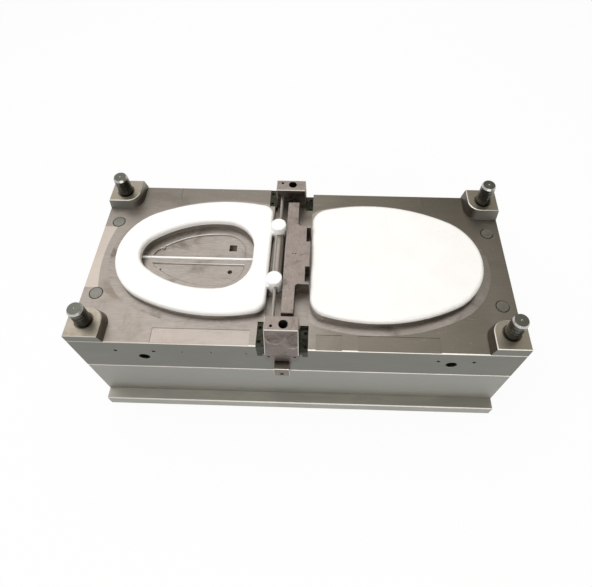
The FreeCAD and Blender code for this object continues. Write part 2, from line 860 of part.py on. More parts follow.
def make_core_plate():
    left = padded("seat_side", "YZ_Plane", plate_section(Z_SEAT), f"-{X_END}", "-channel_left")
    right = padded("lid_side", "YZ_Plane", plate_section(Z_LID), "-channel_left", X_END)
    body = fuse("core_plate_blank", left, right, *make_bosses())
    cutters = pillar_bores() + return_pin_bores() + face_holes() + relief_cutters()
    cutters += slide_channel_cutters()
    cutters.append(insert_pocket("seat", -1, Z_SEAT_INSERT, Z_SEAT))
    cutters.append(insert_pocket("lid", 1, Z_LID_INSERT, Z_LID))
    pin_radius = "ejector_pin_radius + running_gap"
    cutters += holes("seat_pin_hole", seat_pin_places(), pin_radius, Z_CORE, Z_SEAT_INSERT)
    cutters += holes("lid_pin_hole", lid_pin_places(), pin_radius, Z_CORE, Z_LID_INSERT)
    puller = [(f"-{SEAT_PIN_X}", "0")]
    cutters += holes("puller_hole", puller, "puller_pin_radius + running_gap", Z_CORE, Z_SEAT_INSERT)
    grip_top = f"{Z_CORE} + clamp_screw_grip"
    cutters += holes("clamp_thread", clamp_screw_places(), "clamp_screw_radius", Z_CORE, grip_top)
    seat_top = f"{Z_CORE} + guide_pin_seat"
    cutters += holes("guide_seat", GUIDE_PLACES, "guide_pin_radius", Z_CORE, seat_top)
    node("core_plate", cut("core_plate_solid", body, *cutters))


def make_guide_pillars():
    """Ground pillars with a head under the plate, a shoulder that ends just below the boss's top,
    oil grooves, a long bevel and a centre hole."""
    for name, (x_sign, y_sign) in CORNERS.items():
        top = f"{Z_PILLAR} - {Z_CORE}"
        shoulder = f"{BOSS_TOPS[x_sign]} - pillar_ring_depth - {Z_CORE}"
        points = [
            ("0", "0"),
            ("pillar_head_radius", "0"),
            ("pillar_head_radius", "pillar_head_height"),
            ("pillar_shoulder_radius", "pillar_head_height"),
            ("pillar_shoulder_radius", shoulder),
            ("pillar_radius", shoulder),
        ]
        for step in (4, 3, 2):
            low = f"{top} - {step} * pillar_groove_pitch"
            high = f"{low} + pillar_groove_width"
            inner = "pillar_radius - pillar_groove_depth"
            points += [("pillar_radius", low), (inner, low), (inner, high), ("pillar_radius", high)]
        points += [
            ("pillar_radius", f"{top} - 2 * pillar_chamfer"),
            ("pillar_radius - pillar_chamfer", top),
            ("pillar_centre_radius", top),
            ("0", f"{top} - 2 * pillar_centre_radius"),
        ]
        pillar = turned(f"pillar_{name}", points)
        place(pillar, signed(x_sign, PILLAR_X), signed(y_sign, PILLAR_Y), Z_CORE)
        node(f"guide_pillar_{name}", pillar)


# Ejector box


def make_ejector_plates():
    x_span = (f"-{EJECTOR_END}", EJECTOR_END)
    y_span = (f"-{EJECTOR_SIDE}", EJECTOR_SIDE)
    base = block("ejector_base_blank", x_span, y_span, (Z_EJECTOR, Z_HEADS))
    bush = "guide_bush_radius + fit_gap"
    support = "support_pillar_radius + support_pillar_gap"
    thread_top = f"{Z_HEADS} + ejector_screw_grip"
    head_top = f"{Z_EJECTOR} + ejector_screw_head_height + head_gap"
    base_cutters = holes("base_support", SUPPORT_PLACES, support, Z_EJECTOR, Z_HEADS)
    base_cutters += holes("base_bush", GUIDE_PLACES, bush, Z_EJECTOR, Z_HEADS)
    screw = "ejector_screw_radius"
    base_cutters += holes("base_screw", EJECTOR_SCREW_PLACES, screw, Z_EJECTOR, Z_HEADS)
    head = "ejector_screw_head_radius + head_gap"
    base_cutters += holes("base_head", EJECTOR_SCREW_PLACES, head, Z_EJECTOR, head_top)
    node("ejector_base_plate", cut("ejector_base", base, *base_cutters))
    retainer = block("retainer_blank", x_span, y_span, (Z_HEADS, Z_RETAINER))
    cutters = holes("retainer_support", SUPPORT_PLACES, support, Z_HEADS, Z_RETAINER)
    cutters += holes("retainer_bush", GUIDE_PLACES, bush, Z_HEADS, Z_RETAINER)
    cutters += holes("retainer_screw", EJECTOR_SCREW_PLACES, screw, Z_HEADS, thread_top)
    pin_sets = (
        ("return", RETURN_PLACES, "return_pin_radius", "return_pin_head_radius"),
        ("seat_pin", seat_pin_places(), "ejector_pin_radius", "ejector_pin_head_radius"),
        ("lid_pin", lid_pin_places(), "ejector_pin_radius", "ejector_pin_head_radius"),
        ("puller", [(f"-{SEAT_PIN_X}", "0")], "puller_pin_radius", "ejector_pin_head_radius"),
    )
    head_top = f"{Z_HEADS} + pin_head_height"
    for name, places, radius, head_radius in pin_sets:
        cutters += holes(f"retainer_{name}", places, f"{radius} + fit_gap", Z_HEADS, Z_RETAINER)
        wide = f"{head_radius} + head_gap / 2"
        cutters += holes(f"retainer_{name}_head", places, wide, Z_HEADS, head_top)
    node("ejector_retainer_plate", cut("retainer", retainer, *cutters))


def headed_pin(name, radius, head_radius, x, y, top):
    """A pin whose head is trapped between the two ejector plates."""
    head = rod(f"{name}_head", head_radius, x, y, Z_HEADS, "pin_head_height")
    shank = rod(f"{name}_shank", radius, x, y, Z_HEADS, f"{top} - {Z_HEADS}")
    return fuse(name, head, shank)


def make_ejector_pins():
    returns = []
    springs = []
    for index, ((x, y), top) in enumerate(zip(RETURN_PLACES, RETURN_TOPS)):
        name = f"return_pin_{index}"
        returns.append(headed_pin(name, "return_pin_radius", "return_pin_head_radius", x, y, top))
        height = f"{Z_CORE} - {Z_RETAINER}"
        outside = rod(f"spring_{index}", "spring_outer_radius", x, y, Z_RETAINER, height)
        inside = rod(f"spring_inner_{index}", "spring_inner_radius", x, y, Z_RETAINER, height)
        springs.append(cut(f"spring_sleeve_{index}", outside, inside))
    group("return_pins", returns)
    group("return_springs", springs)
    seat_top = f"{Z_SEAT} + seat_crown_height - wall"
    lid_top = f"{Z_LID} + lid_crown_height - wall"
    pin, head = "ejector_pin_radius", "ejector_pin_head_radius"
    seat_pins = [
        headed_pin(f"seat_pin_{index}", pin, head, x, y, seat_top)
        for index, (x, y) in enumerate(seat_pin_places())
    ]
    group("seat_ejector_pins", seat_pins)
    lid_pins = [
        headed_pin(f"lid_pin_{index}", pin, head, x, y, lid_top)
        for index, (x, y) in enumerate(lid_pin_places())
    ]
    group("lid_ejector_pins", lid_pins)
    runner_low = f"{Z_FLOOR} + runner_height / 2 - runner_height"
    puller = headed_pin("puller", "puller_pin_radius", head, f"-{SEAT_PIN_X}", "0", runner_low)
    node("runner_puller_pin", puller)


def make_box_supports():
    height = "box_height"
    pillars = holes("support", SUPPORT_PLACES, "support_pillar_radius", Z_RAIL, Z_CORE)
    group("support_pillars", pillars)
    guides = [
        rod(f"guide_{index}", "guide_pin_radius", x, y, Z_RAIL, f"{height} + guide_pin_seat")
        for index, (x, y) in enumerate(GUIDE_PLACES)
    ]
    group("ejector_guide_pins", guides)
    bushes = []
    for index, (x, y) in enumerate(GUIDE_PLACES):
        length = f"{Z_RETAINER} - {Z_EJECTOR}"
        outside = rod(f"bush_{index}", "guide_bush_radius", x, y, Z_EJECTOR, length)
        bore = "guide_pin_radius + running_gap"
        inside = rod(f"bush_bore_{index}", bore, x, y, Z_EJECTOR, length)
        bushes.append(cut(f"guide_bush_{index}", outside, inside))
    group("ejector_guide_bushes", bushes)
    places = RETURN_PLACES + four_places("lid_widest", GUIDE_Y)
    buttons = holes("rest_button", places, "rest_button_radius", Z_RAIL, Z_EJECTOR)
    group("rest_buttons", buttons)


def make_hidden_screws():
    clamp = []
    length = f"{Z_CORE} + clamp_screw_grip - head_gap"
    for index, (x, y) in enumerate(clamp_screw_places()):
        sizes = ("clamp_screw_radius", "clamp_screw_head_radius", "clamp_screw_head_height")
        clamp.append(socket_screw(f"clamp_{index}", *sizes, x, y, "head_gap", length, "+z"))
    group("clamp_screws", clamp)
    ejector = []
    low = f"{Z_EJECTOR} + head_gap"
    length = "ejector_base_thickness + ejector_screw_grip - head_gap"
    for index, (x, y) in enumerate(EJECTOR_SCREW_PLACES):
        sizes = ("ejector_screw_radius", "ejector_screw_head_radius", "ejector_screw_head_height")
        ejector.append(socket_screw(f"ejector_{index}", *sizes, x, y, low, length, "+z"))
    group("ejector_plate_screws", ejector)


def make_cooling_plugs():
    plugs = []
    for name, side in SIDES.items():
        inward = "+y" if side < 0 else "-y"
        for index, x in enumerate(PLUG_PLACES):
            z = f"{Z_CORE} + seat_port_height"
            tag = f"plug_{name}_{index}"
            face = signed(side, Y_SIDE)
            plug = rod(tag, "plug_radius - fit_gap", x, face, z, "plug_length", inward)
            hexagon = doc.addObject("Part::Prism", f"{tag}_hexagon")
            hexagon.Polygon = 6
            bind(hexagon, "Circumradius", "plug_radius * 0.55")
            bind(hexagon, "Height", "hex_depth")
            place(hexagon, x, face, z, inward)
            plugs.append(cut(f"{tag}_screw", plug, hexagon))
    group("cooling_plugs", plugs)


# Cores, inserts and mouldings


def pin_cutters(places, radius, low, high):
    return [upright(radius, value(x), value(y), low, high) for x, y in places]


def make_seat_core():
    """The seat's core: a land at the parting surface, a plinth and the ring that the moulding
    shrinks on to, with the seat's opening cut right through."""
    low, land = value(Z_SEAT_INSERT), value(Z_SEAT)
    rim = value(Z_SEAT_RIM) - value("release_gap")
    inset = value("wall") + value("release_gap")
    top = land + value("seat_crown_height") - inset
    side = value("plinth_inset")
    solid = insert_blank("seat", -1, Z_SEAT_INSERT, Z_SEAT, 0)
    solid = solid.cut(egg_prism("opening", -1, -side, low, land))
    solid = solid.fuse(ring(side, side, low, rim)).cut(gib_corners(-1, low, rim))
    radius = max(value("seat_crown_radius") - inset, 1)
    solid = solid.fuse(ring(inset, inset, low, top, radius)).removeSplitter()
    pin = value("ejector_pin_radius + running_gap")
    solid = solid.cut(pin_cutters(seat_pin_places(), pin, low, top))
    node("seat_core", formed("seat_core_solid", solid))


def gib_corners(direction, low, high):
    """The two corners of an insert that make room for the slides' gibs."""
    edge = value(SLIDE_LEFT if direction < 0 else SLIDE_RIGHT) + direction * value("gib_width")
    inner, outer = value(f"{Y_SIDE} - gib_length"), value(Y_SIDE)
    return [
        box_solid(sorted((edge, 0)), sorted((side * inner, side * outer)), (low, high))
        for side in SIDES.values()
    ]


def make_opening_inserts():
    """Two inserts that fill the seat's opening up to a lower floor, each with a D-shaped pocket."""
    low, floor = value(Z_SEAT_INSERT), value(Z_FLOOR)
    wide = value("plinth_inset") - value("fit_gap")
    whole = egg_prism("opening", -1, -wide, low, floor)
    pocket_low = floor - value("d_pocket_depth")
    pocket = egg_prism("opening", -1, value("d_pocket_inset"), pocket_low, floor)
    far = value(X_END)
    groove_low = floor - value("runner_height") / 2 - value("release_gap")
    groove_half = value("runner_width") / 2 + value("release_gap")
    groove = box_solid((-far, 0), (-groove_half, groove_half), (groove_low, floor))
    puller = upright(value("puller_pin_radius + running_gap"), -value(SEAT_PIN_X), 0, low, floor)
    for name, side in SIDES.items():
        offset = value("d_pocket_front" if side < 0 else "d_pocket_back")
        half = box_solid((-far, 0), sorted((0, side * far)), (low, floor))
        d_side = box_solid((-far, 0), sorted((side * offset, side * far)), (pocket_low, floor))
        solid = whole.common(half).cut([pocket.common(d_side), groove, puller])
        bottom = pocket_low - value("opening_hole_depth")
        x, y = -value(SQUARE_HOLE_X), side * value("square_hole_y")
        if side > 0:
            reach = value("square_hole") / 2
            hole = box_solid((x - reach, x + reach), (y - reach, y + reach), (bottom, floor))
        else:
            hole = upright(value("round_hole_radius"), x, y, bottom, floor)
        pin_x, pin_y = -value(CORE_PIN_X), side * value("core_pin_y")
        pin = upright(value("core_pin_radius"), pin_x, pin_y, bottom, floor)
        node(f"opening_insert_{name}", formed(f"opening_{name}", solid.cut([hole, pin])))


def make_opening_pins():
    """A round core pin near the narrow end of each half of the opening."""
    pins = []
    for name, side in SIDES.items():
        low = f"{Z_FLOOR} - d_pocket_depth - opening_hole_depth"
        y = signed(side, "core_pin_y")
        height = "opening_hole_depth + d_pocket_depth"
        radius = "core_pin_radius - fit_gap"
        pins.append(rod(f"opening_pin_{name}", radius, f"-{CORE_PIN_X}", y, low, height))
    group("opening_core_pins", pins)


def make_lid_core():
    low, land = value(Z_LID_INSERT), value(Z_LID)
    rim = value(Z_LID_RIM) - value("release_gap")
    inset = value("wall") + value("release_gap")
    top = land + value("lid_crown_height") - inset
    solid = insert_blank("lid", 1, Z_LID_INSERT, Z_LID, 0)
    solid = solid.fuse(egg_prism("lid", 1, value("plinth_inset"), low, rim))
    solid = solid.cut(gib_corners(1, low, rim))
    radius = max(value("lid_crown_radius") - inset, 1)
    core = round_top(egg_prism("lid", 1, inset, low, top), radius)
    solid = solid.fuse(core).removeSplitter()
    pin = value("ejector_pin_radius + running_gap")
    solid = solid.cut(pin_cutters(lid_pin_places(), pin, low, top))
    node("lid_core", formed("lid_core_solid", solid))


def lug_solid(side):
    """A round hinge lug with a neck to the seat, and a slot over the core rod, open below so that
    the moulding lifts off."""
    low = value(Z_SEAT) + value("release_gap")
    top = value(Z_SEAT) + value("lug_top")
    x, y = -value("lug_x"), side * value("lug_y")
    radius = value("lug_radius")
    lug = round_top(upright(radius, x, y, low, top), value("lug_edge_radius"))
    neck_half = value("lug_neck") / 2
    neck_top = value(Z_SEAT) + value("seat_crown_height") - value("wall")
    neck_x = (-value("seat_edge") - value("wall") / 2, x)
    neck = box_solid(neck_x, (y - neck_half, y + neck_half), (value(Z_SEAT_RIM), neck_top))
    lug = lug.fuse(neck)
    slot_half = value("rod_radius") + value("release_gap")
    outer = abs(y) + radius
    inner = outer - value("rod_in_lug") - value("release_gap")
    rod_x, rod_z = -value("rod_x"), value(Z_ROD)
    y_span = sorted((side * inner, side * (outer + radius)))
    slot = box_solid((rod_x - slot_half, rod_x + slot_half), y_span, (low - 1, rod_z))
    start = Vector(rod_x, y_span[0], rod_z)
    bore = Part.makeCylinder(slot_half, y_span[1] - y_span[0], start, Vector(0, 1, 0))
    return lug.cut([slot, bore])


def make_seat_moulding():
    rim, wall = value(Z_SEAT_RIM), value("wall")
    top = value(Z_SEAT) + value("seat_crown_height")
    radius = value("seat_crown_radius")
    solid = ring(0, 0, rim, top, radius)
    solid = solid.cut(ring(wall, wall, rim, top - wall, max(radius - wall, 1)))
    lugs = [lug_solid(side) for side in SIDES.values()]
    node("seat_moulding", formed("seat_moulding_solid", solid.fuse(lugs).removeSplitter()))


def make_lid_moulding():
    rim, wall = value(Z_LID_RIM), value("wall")
    top = value(Z_LID) + value("lid_crown_height")
    radius = value("lid_crown_radius")
    solid = round_top(egg_prism("lid", 1, 0, rim, top), radius)
    void = round_top(egg_prism("lid", 1, wall, rim, top - wall), max(radius - wall, 1))
    node("lid_moulding", formed("lid_moulding_solid", solid.cut(void)))


def make_cold_runner():
    """The runner across the opening, with drafted sides, half sunk in the two inserts."""
    half = "runner_width / 2"
    top_half = f"({half} - runner_draft)"
    low = f"({Z_FLOOR} - runner_height / 2)"
    high = f"({low} + runner_height)"
    points = [(f"-{half}", low), (half, low), (top_half, high), (f"-{top_half}", high)]
    gap = "release_gap - plinth_inset"
    span_x = (f"-{OPENING_END} + {gap}", f"-opening_edge - ({gap})")
    node("cold_runner", padded("runner", "YZ_Plane", points, *span_x))


# Hinge channel


def make_centre_plate():
    """A T-shaped plate between the two cores, with two notches beside the lid."""
    low, top = value(Z_LID), value(Z_LID) + value("centre_height")
    left, right = -value("centre_left"), value("centre_right")
    neck = -value("centre_neck_right")
    half, length = value("centre_half_width"), value(f"{SLIDE_INNER} - centre_end_gap")
    solid = box_solid((left, neck), (-length, length), (low, top))
    solid = solid.fuse(box_solid((left, right), (-half, half), (low, top))).removeSplitter()
    inner = []
    for edge in solid.Edges:
        reach = edge.BoundBox
        at_neck = abs(reach.XMax - neck) < 0.1 and abs(abs(reach.YMin) - half) < 0.1
        if at_neck and reach.ZLength > top - low - 0.1:
            inner.append(edge)
    solid = solid.makeFillet(value("centre_corner_radius"), inner)
    cutters = []
    for side in SIDES.values():
        y_span = sorted((side * value("notch_inner"), side * value("notch_outer")))
        cutters.append(box_solid((right - value("notch_width"), right), y_span, (low, top)))
    plug_low = top - value("spanner_plug_depth")
    plug_x = -value("spanner_plug_x")
    cutters.append(upright(value("spanner_plug_radius"), plug_x, 0, plug_low, top))
    node("hinge_centre_plate", formed("centre_plate_solid", solid.cut(cutters)))


def make_spanner_plug():
    top = f"{Z_LID} + centre_height"
    low = f"{top} - spanner_plug_depth"
    radius = "spanner_plug_radius - fit_gap"
    plug = rod("spanner_plug_blank", radius, "-spanner_plug_x", "0", low, "spanner_plug_depth")
    pins = [
        rod(f"spanner_hole_{sign}", "spanner_plug_radius / 4",
            f"-spanner_plug_x {sign} spanner_plug_radius / 2", "0", f"{top} - hex_depth", "hex_depth")
        for sign in ("+", "-")
    ]
    node("spanner_plug", cut("spanner_plug_solid", plug, *pins))


def make_hinge_ridge():
    """The bar under the hinge lugs, with a half-round ridge between them."""
    x = "-ridge_x"
    bar_x = (f"{x} - hinge_bar_half_width", f"{x} + hinge_bar_half_width")
    long_y = ("-hinge_bar_half_length", "hinge_bar_half_length")
    bar = block("hinge_bar", bar_x, long_y, (Z_LID, Z_SEAT))
    axis_z = f"{Z_LID} + ridge_axis_height"
    ridge_y = ("-ridge_half_length", "ridge_half_length")
    web_x = (f"{x} - ridge_radius", f"{x} + ridge_radius")
    web = block("ridge_web", web_x, ridge_y, (Z_LID, axis_z))
    crest = rod("ridge_crest", "ridge_radius", x, "-ridge_half_length", axis_z,
                "2 * ridge_half_length", "+y")
    node("hinge_ridge", fuse("hinge_ridge_solid", bar, web, crest))


# Slides, which draw the hinge core rods


def make_slide(name, side):
    """A side core: straight inner face, flat top, locking slope, and rails under the gibs."""
    inner = signed(side, SLIDE_INNER)
    flat = signed(side, f"{SLIDE_INNER} + slide_flat")
    outer = signed(side, SLIDE_OUTER)
    shoulder = f"{Z_CORE} + slide_shoulder"
    points = [(inner, Z_SLIDE), (outer, Z_SLIDE), (outer, shoulder), (flat, Z_SLIDE_TOP),
              (inner, Z_SLIDE_TOP)]
    body = padded(f"slide_{name}_blank", "YZ_Plane", points, SLIDE_LEFT, SLIDE_RIGHT)
    rail_x = (f"{SLIDE_LEFT} - slide_rail_reach", f"{SLIDE_RIGHT} + slide_rail_reach")
    rail_z = (Z_SLIDE, f"{Z_SLIDE} + slide_rail_height")
    rails = block(f"slide_{name}_rails", rail_x, span(side, SLIDE_INNER, Y_SIDE), rail_z)
    # The pin hole leans outwards with depth. Its cutter starts a radius above the flat top.
    start_y = signed(side, f"{ANGLE_HOLE_Y} - angle_hole_radius * tan(angle_hole_tilt * 1 deg)")
    hole = rod(f"angle_hole_{name}", "angle_hole_radius", "-angle_hole_x", start_y,
               f"{Z_SLIDE_TOP} + angle_hole_radius", "angle_hole_depth + angle_hole_radius")
    lean = Rotation(Vector(-side, 0, 0), 180 - value("angle_hole_tilt"))
    hole.Placement = FreeCAD.Placement(Vector(), lean)
    bind(hole, "Placement.Rotation.Angle", "(180 - angle_hole_tilt) * 1 deg")
    bore = rod(f"rod_bore_{name}", "rod_radius + fit_gap", "-rod_x", inner, Z_ROD, "rod_in_slide",
               "-y" if side < 0 else "+y")
    screw_y = signed(side, f"{SLIDE_INNER} + rod_in_slide")
    screw = rod(f"rod_screw_hole_{name}", "rod_screw_radius + fit_gap", "-rod_x", screw_y,
                f"{Z_ROD} + rod_radius", f"{Z_SLIDE_TOP} - {Z_ROD} - rod_radius")
    face = [
        rod(f"face_hole_{name}_{hand}", "face_hole_radius", x, outer,
            f"{Z_SLIDE} + face_hole_height", "face_hole_depth", "+y" if side < 0 else "-y")
        for hand, x in (("left", f"{SLIDE_LEFT} + face_hole_inset"),
                        ("right", f"{SLIDE_RIGHT} - face_hole_inset"))
    ]
    whole = fuse(f"slide_{name}_whole", body, rails)
    cutters = [hole, bore, screw, stop_slot(name, side)] + face
    node(f"slide_{name}", cut(f"slide_{name}_solid", whole, *cutters))


def stop_slot(name, side):
    """The slot under a slide that its stop pin runs in, as long as the stroke."""
    radius = "(stop_pin_radius + running_gap)"
    height = "(stop_pin_height - wear_plate_thickness + head_gap)"
    y_rest = STOP_PIN_Y
    y_open = f"({STOP_PIN_Y} - slide_stroke)"
    x_span = (f"-stop_pin_x - {radius}", f"-stop_pin_x + {radius}")
    z_span = (Z_SLIDE, f"{Z_SLIDE} + {height}")
    middle = block(f"slot_{name}", x_span, span(side, y_open, y_rest), z_span)
    ends = [
        rod(f"slot_end_{name}_{index}", radius, "-stop_pin_x", signed(side, y), Z_SLIDE, height)
        for index, y in enumerate((y_open, y_rest))
    ]
    return fuse(f"stop_slot_{name}", middle, *ends)


def make_core_rod(name, side):
    """The round core that forms the bore of a hinge lug, held in the slide by a screw."""
    length = f"{SLIDE_INNER} + rod_in_slide - {ROD_END}"
    core = rod(f"core_rod_{name}_solid", "rod_radius", "-rod_x", signed(side, ROD_END), Z_ROD,
               length, "-y" if side < 0 else "+y")
    node(f"core_rod_{name}", core)
    screw_y = signed(side, f"{SLIDE_INNER} + rod_in_slide")
    length = f"{Z_SLIDE_TOP} - {Z_ROD} - rod_radius - hex_depth"
    screw = rod(f"rod_screw_{name}_blank", "rod_screw_radius", "-rod_x", screw_y,
                f"{Z_ROD} + rod_radius", length)
    hexagon = doc.addObject("Part::Prism", f"rod_screw_{name}_hexagon")
    hexagon.Polygon = 6
    bind(hexagon, "Circumradius", "rod_screw_radius * 0.6")
    bind(hexagon, "Height", "hex_depth")
    place(hexagon, "-rod_x", screw_y, f"{Z_SLIDE_TOP} - 2 * hex_depth")
    node(f"rod_screw_{name}", cut(f"rod_screw_{name}_solid", screw, hexagon))


def make_slide_seat(name, side):
    """Wear plate, stop pin and gibs of one slide."""
    low = f"{Z_SLIDE} - wear_plate_thickness"
    wear = block(f"wear_{name}", (SLIDE_LEFT, SLIDE_RIGHT), span(side, SLIDE_INNER, Y_SIDE),
                 (low, f"{Z_SLIDE} - fit_gap"))
    pin_y = signed(side, STOP_PIN_Y)
    pin_hole = rod(f"wear_pin_hole_{name}", "stop_pin_radius", "-stop_pin_x", pin_y, low,
                   "wear_plate_thickness")
    node(f"slide_wear_plate_{name}", cut(f"wear_plate_{name}", wear, pin_hole))
    for hand in GIB_HANDS:
        make_gib(name, side, hand)


# Each gib's side of the slide, edge of the slide, sign along X and top.
GIB_HANDS = {
    "left": (SLIDE_LEFT, "-", f"({Z_SEAT} - seat_gib_drop)"),
    "right": (SLIDE_RIGHT, "+", f"({Z_LID} - lid_gib_drop)"),
}
GIB_SCREW_SHARES = (0.22, 0.78)


def gib_screw_places():
    """Tag, x, y and top face of each of the screws that hold the gibs down."""
    return [
        (f"gib_{name}_{hand}_{index}", f"{edge} {sign} (slide_rail_reach + gib_width) / 2",
         signed(side, f"{Y_SIDE} - gib_length * {share}"), top)
        for name, side in SIDES.items()
        for hand, (edge, sign, top) in GIB_HANDS.items()
        for index, share in enumerate(GIB_SCREW_SHARES)
    ]


def make_gib(name, side, hand):
    """An L-shaped strip that holds a slide's rail down, screwed into the plate."""
    edge, sign, top = GIB_HANDS[hand]
    near = f"{edge} {sign} running_gap"
    rail = f"{edge} {sign} (slide_rail_reach + running_gap)"
    far = f"{edge} {sign} (gib_width - fit_gap)"
    ledge = f"{Z_SLIDE} + slide_rail_height + running_gap"
    points = [(far, Z_SLIDE), (rail, Z_SLIDE), (rail, ledge), (near, ledge), (near, top), (far, top)]
    # The strip's section lies in the XZ plane, whose own normal points to the front.
    low = f"{Y_SIDE} - gib_length + fit_gap"
    high = Y_SIDE
    if side > 0:
        low, high = f"-({high})", f"-({low})"
    strip = padded(f"gib_{name}_{hand}_blank", "XZ_Plane", points, low, high)
    holes_down = []
    for tag, x, y, _ in gib_screw_places():
        if not tag.startswith(f"gib_{name}_{hand}"):
            continue
        head = f"{top} - small_screw_head_height"
        holes_down.append(rod(f"{tag}_head_hole", "small_screw_head_radius + fit_gap", x, y, head,
                              "small_screw_head_height"))
        holes_down.append(rod(f"{tag}_hole", "small_screw_radius + fit_gap", x, y, Z_SLIDE,
                              f"{top} - {Z_SLIDE}"))
    node(f"slide_gib_{name}_{hand}", cut(f"gib_{name}_{hand}", strip, *holes_down))


def make_small_screws():
    screws = []
    for tag, x, y, top in gib_screw_places():
        sizes = ("small_screw_radius", "small_screw_head_radius", "small_screw_head_height")
        length = f"{top} - {Z_SLIDE} - small_screw_head_height"
        head = rod(f"{tag}_head", sizes[1], x, y, f"{top} - {sizes[2]}", sizes[2])
        shank = rod(f"{tag}_shank", sizes[0], x, y, Z_SLIDE, length)
        hexagon = doc.addObject("Part::Prism", f"{tag}_hexagon")
        hexagon.Polygon = 6
        bind(hexagon, "Circumradius", "small_screw_radius * 0.9")
        bind(hexagon, "Height", "hex_depth")
        place(hexagon, x, y, f"{top} - hex_depth")
        screws.append(cut(f"{tag}_screw", fuse(f"{tag}_body", head, shank), hexagon))
    group("gib_screws", screws)


def make_stop_blocks():
    screws = []
    pins = []
    for name, side in SIDES.items():
        x_span = ("-stop_block_x - stop_block_width / 2", "-stop_block_x + stop_block_width / 2")
        y_span = span(side, Y_SIDE, f"{Y_SIDE} + stop_block_depth")
        low = f"{Z_CORE} + stop_block_low"
        z_span = (low, f"{low} + stop_block_height")
        blank = block(f"stop_{name}", x_span, y_span, z_span)
        inward = "+y" if side < 0 else "-y"
        face = signed(side, f"{Y_SIDE} + stop_block_depth")
        z = f"{low} + stop_screw_height"
        bore = rod(f"stop_bore_{name}", "small_screw_radius + fit_gap", "-stop_block_x", face, z,
                   "stop_block_depth", inward)
        sunk = rod(f"stop_sunk_{name}", "small_screw_head_radius + fit_gap", "-stop_block_x", face, z,
                   "2 * small_screw_head_height", inward)
        node(f"slide_stop_block_{name}", cut(f"stop_block_{name}", blank, bore, sunk))
        sizes = ("small_screw_radius", "small_screw_head_radius", "small_screw_head_height")
        head_face = signed(side, f"{Y_SIDE} + stop_block_depth - small_screw_head_height")
        length = "stop_block_depth - small_screw_head_height"
        screws.append(socket_screw(f"stop_{name}", *sizes, "-stop_block_x", head_face, z, length,
                                   inward))
        pin_low = f"{Z_SLIDE} - wear_plate_thickness - stop_pin_height"
        pins.append(rod(f"stop_pin_{name}", "stop_pin_radius - fit_gap", "-stop_pin_x",
                        signed(side, STOP_PIN_Y), pin_low, "2 * stop_pin_height"))
    group("stop_block_screws", screws)
    group("slide_stop_pins", pins)


def build():
    make_clamp_plate()
    make_rails()
    make_core_plate()
    make_guide_pillars()
    make_ejector_plates()
    make_ejector_pins()
    make_box_supports()
    make_hidden_screws()
    make_cooling_plugs()
    make_seat_core()
    make_opening_inserts()
    make_opening_pins()
    make_lid_core()
    make_seat_moulding()
    make_lid_moulding()
    make_cold_runner()
    make_centre_plate()
    make_spanner_plug()
    make_hinge_ridge()
    for name, side in SIDES.items():
        make_slide(name, side)
        make_core_rod(name, side)
        make_slide_seat(name, side)
    make_small_screws()
    make_stop_blocks()
    doc.recompute()


def check():
    """Stops if any object failed or any sub-part has no sound shape."""
    faults = []
    for thing in doc.Objects:
        if "Invalid" in thing.State or "Error" in thing.State:
            faults.append(f"{thing.Label}: {thing.State}")
    for name, thing in nodes.items():
        shape = thing.Shape
        if shape.isNull() or not shape.isValid() or not shape.Solids:
            faults.append(f"{name}: unsound shape")
    if faults:
        raise RuntimeError("; ".join(faults))


def write():
    os.makedirs("parts", exist_ok=True)
    for name, thing in nodes.items():
        thing.Shape.exportStep(os.path.join("parts", f"{name}.step"))


build()
check()
write()
print(f"{len(nodes)} nodes, {sum(len(thing.Shape.Solids) for thing in nodes.values())} solids")
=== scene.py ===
import json
import math

import bmesh
import bpy
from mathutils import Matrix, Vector


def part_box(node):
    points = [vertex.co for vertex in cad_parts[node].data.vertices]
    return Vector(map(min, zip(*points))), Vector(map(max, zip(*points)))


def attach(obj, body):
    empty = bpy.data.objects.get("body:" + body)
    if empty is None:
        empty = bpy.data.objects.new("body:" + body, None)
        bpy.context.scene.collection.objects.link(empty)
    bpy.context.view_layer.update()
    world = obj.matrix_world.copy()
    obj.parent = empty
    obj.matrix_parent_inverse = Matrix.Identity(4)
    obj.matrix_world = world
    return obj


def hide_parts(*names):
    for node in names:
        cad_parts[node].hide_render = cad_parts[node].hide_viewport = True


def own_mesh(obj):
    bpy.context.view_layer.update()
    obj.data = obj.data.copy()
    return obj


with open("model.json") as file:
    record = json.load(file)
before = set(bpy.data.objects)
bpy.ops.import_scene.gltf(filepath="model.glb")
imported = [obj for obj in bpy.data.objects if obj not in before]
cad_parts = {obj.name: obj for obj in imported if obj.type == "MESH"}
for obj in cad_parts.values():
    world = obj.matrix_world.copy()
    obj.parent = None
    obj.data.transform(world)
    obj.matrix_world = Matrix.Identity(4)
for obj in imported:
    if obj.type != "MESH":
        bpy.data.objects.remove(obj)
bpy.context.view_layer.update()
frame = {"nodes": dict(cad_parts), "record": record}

NODES = frame["nodes"]


def colour(code):
    """An sRGB hex colour as the linear RGBA that Blender's sockets take."""
    parts = [int(code[i:i + 2], 16) / 255 for i in (1, 3, 5)]
    return [p / 12.92 if p <= 0.04045 else ((p + 0.055) / 1.055) ** 2.4 for p in parts] + [1.0]


def add_node(tree, kind, inputs=None, **settings):
    """Adds one node, sets its properties, and gives each named input a value or a socket."""
    node = tree.nodes.new(kind)
    for name, setting in settings.items():
        setattr(node, name, setting)
    for key, given in (inputs or {}).items():
        if isinstance(given, bpy.types.NodeSocket):
            tree.links.new(given, node.inputs[key])
        else:
            node.inputs[key].default_value = given
    return node


# Materials


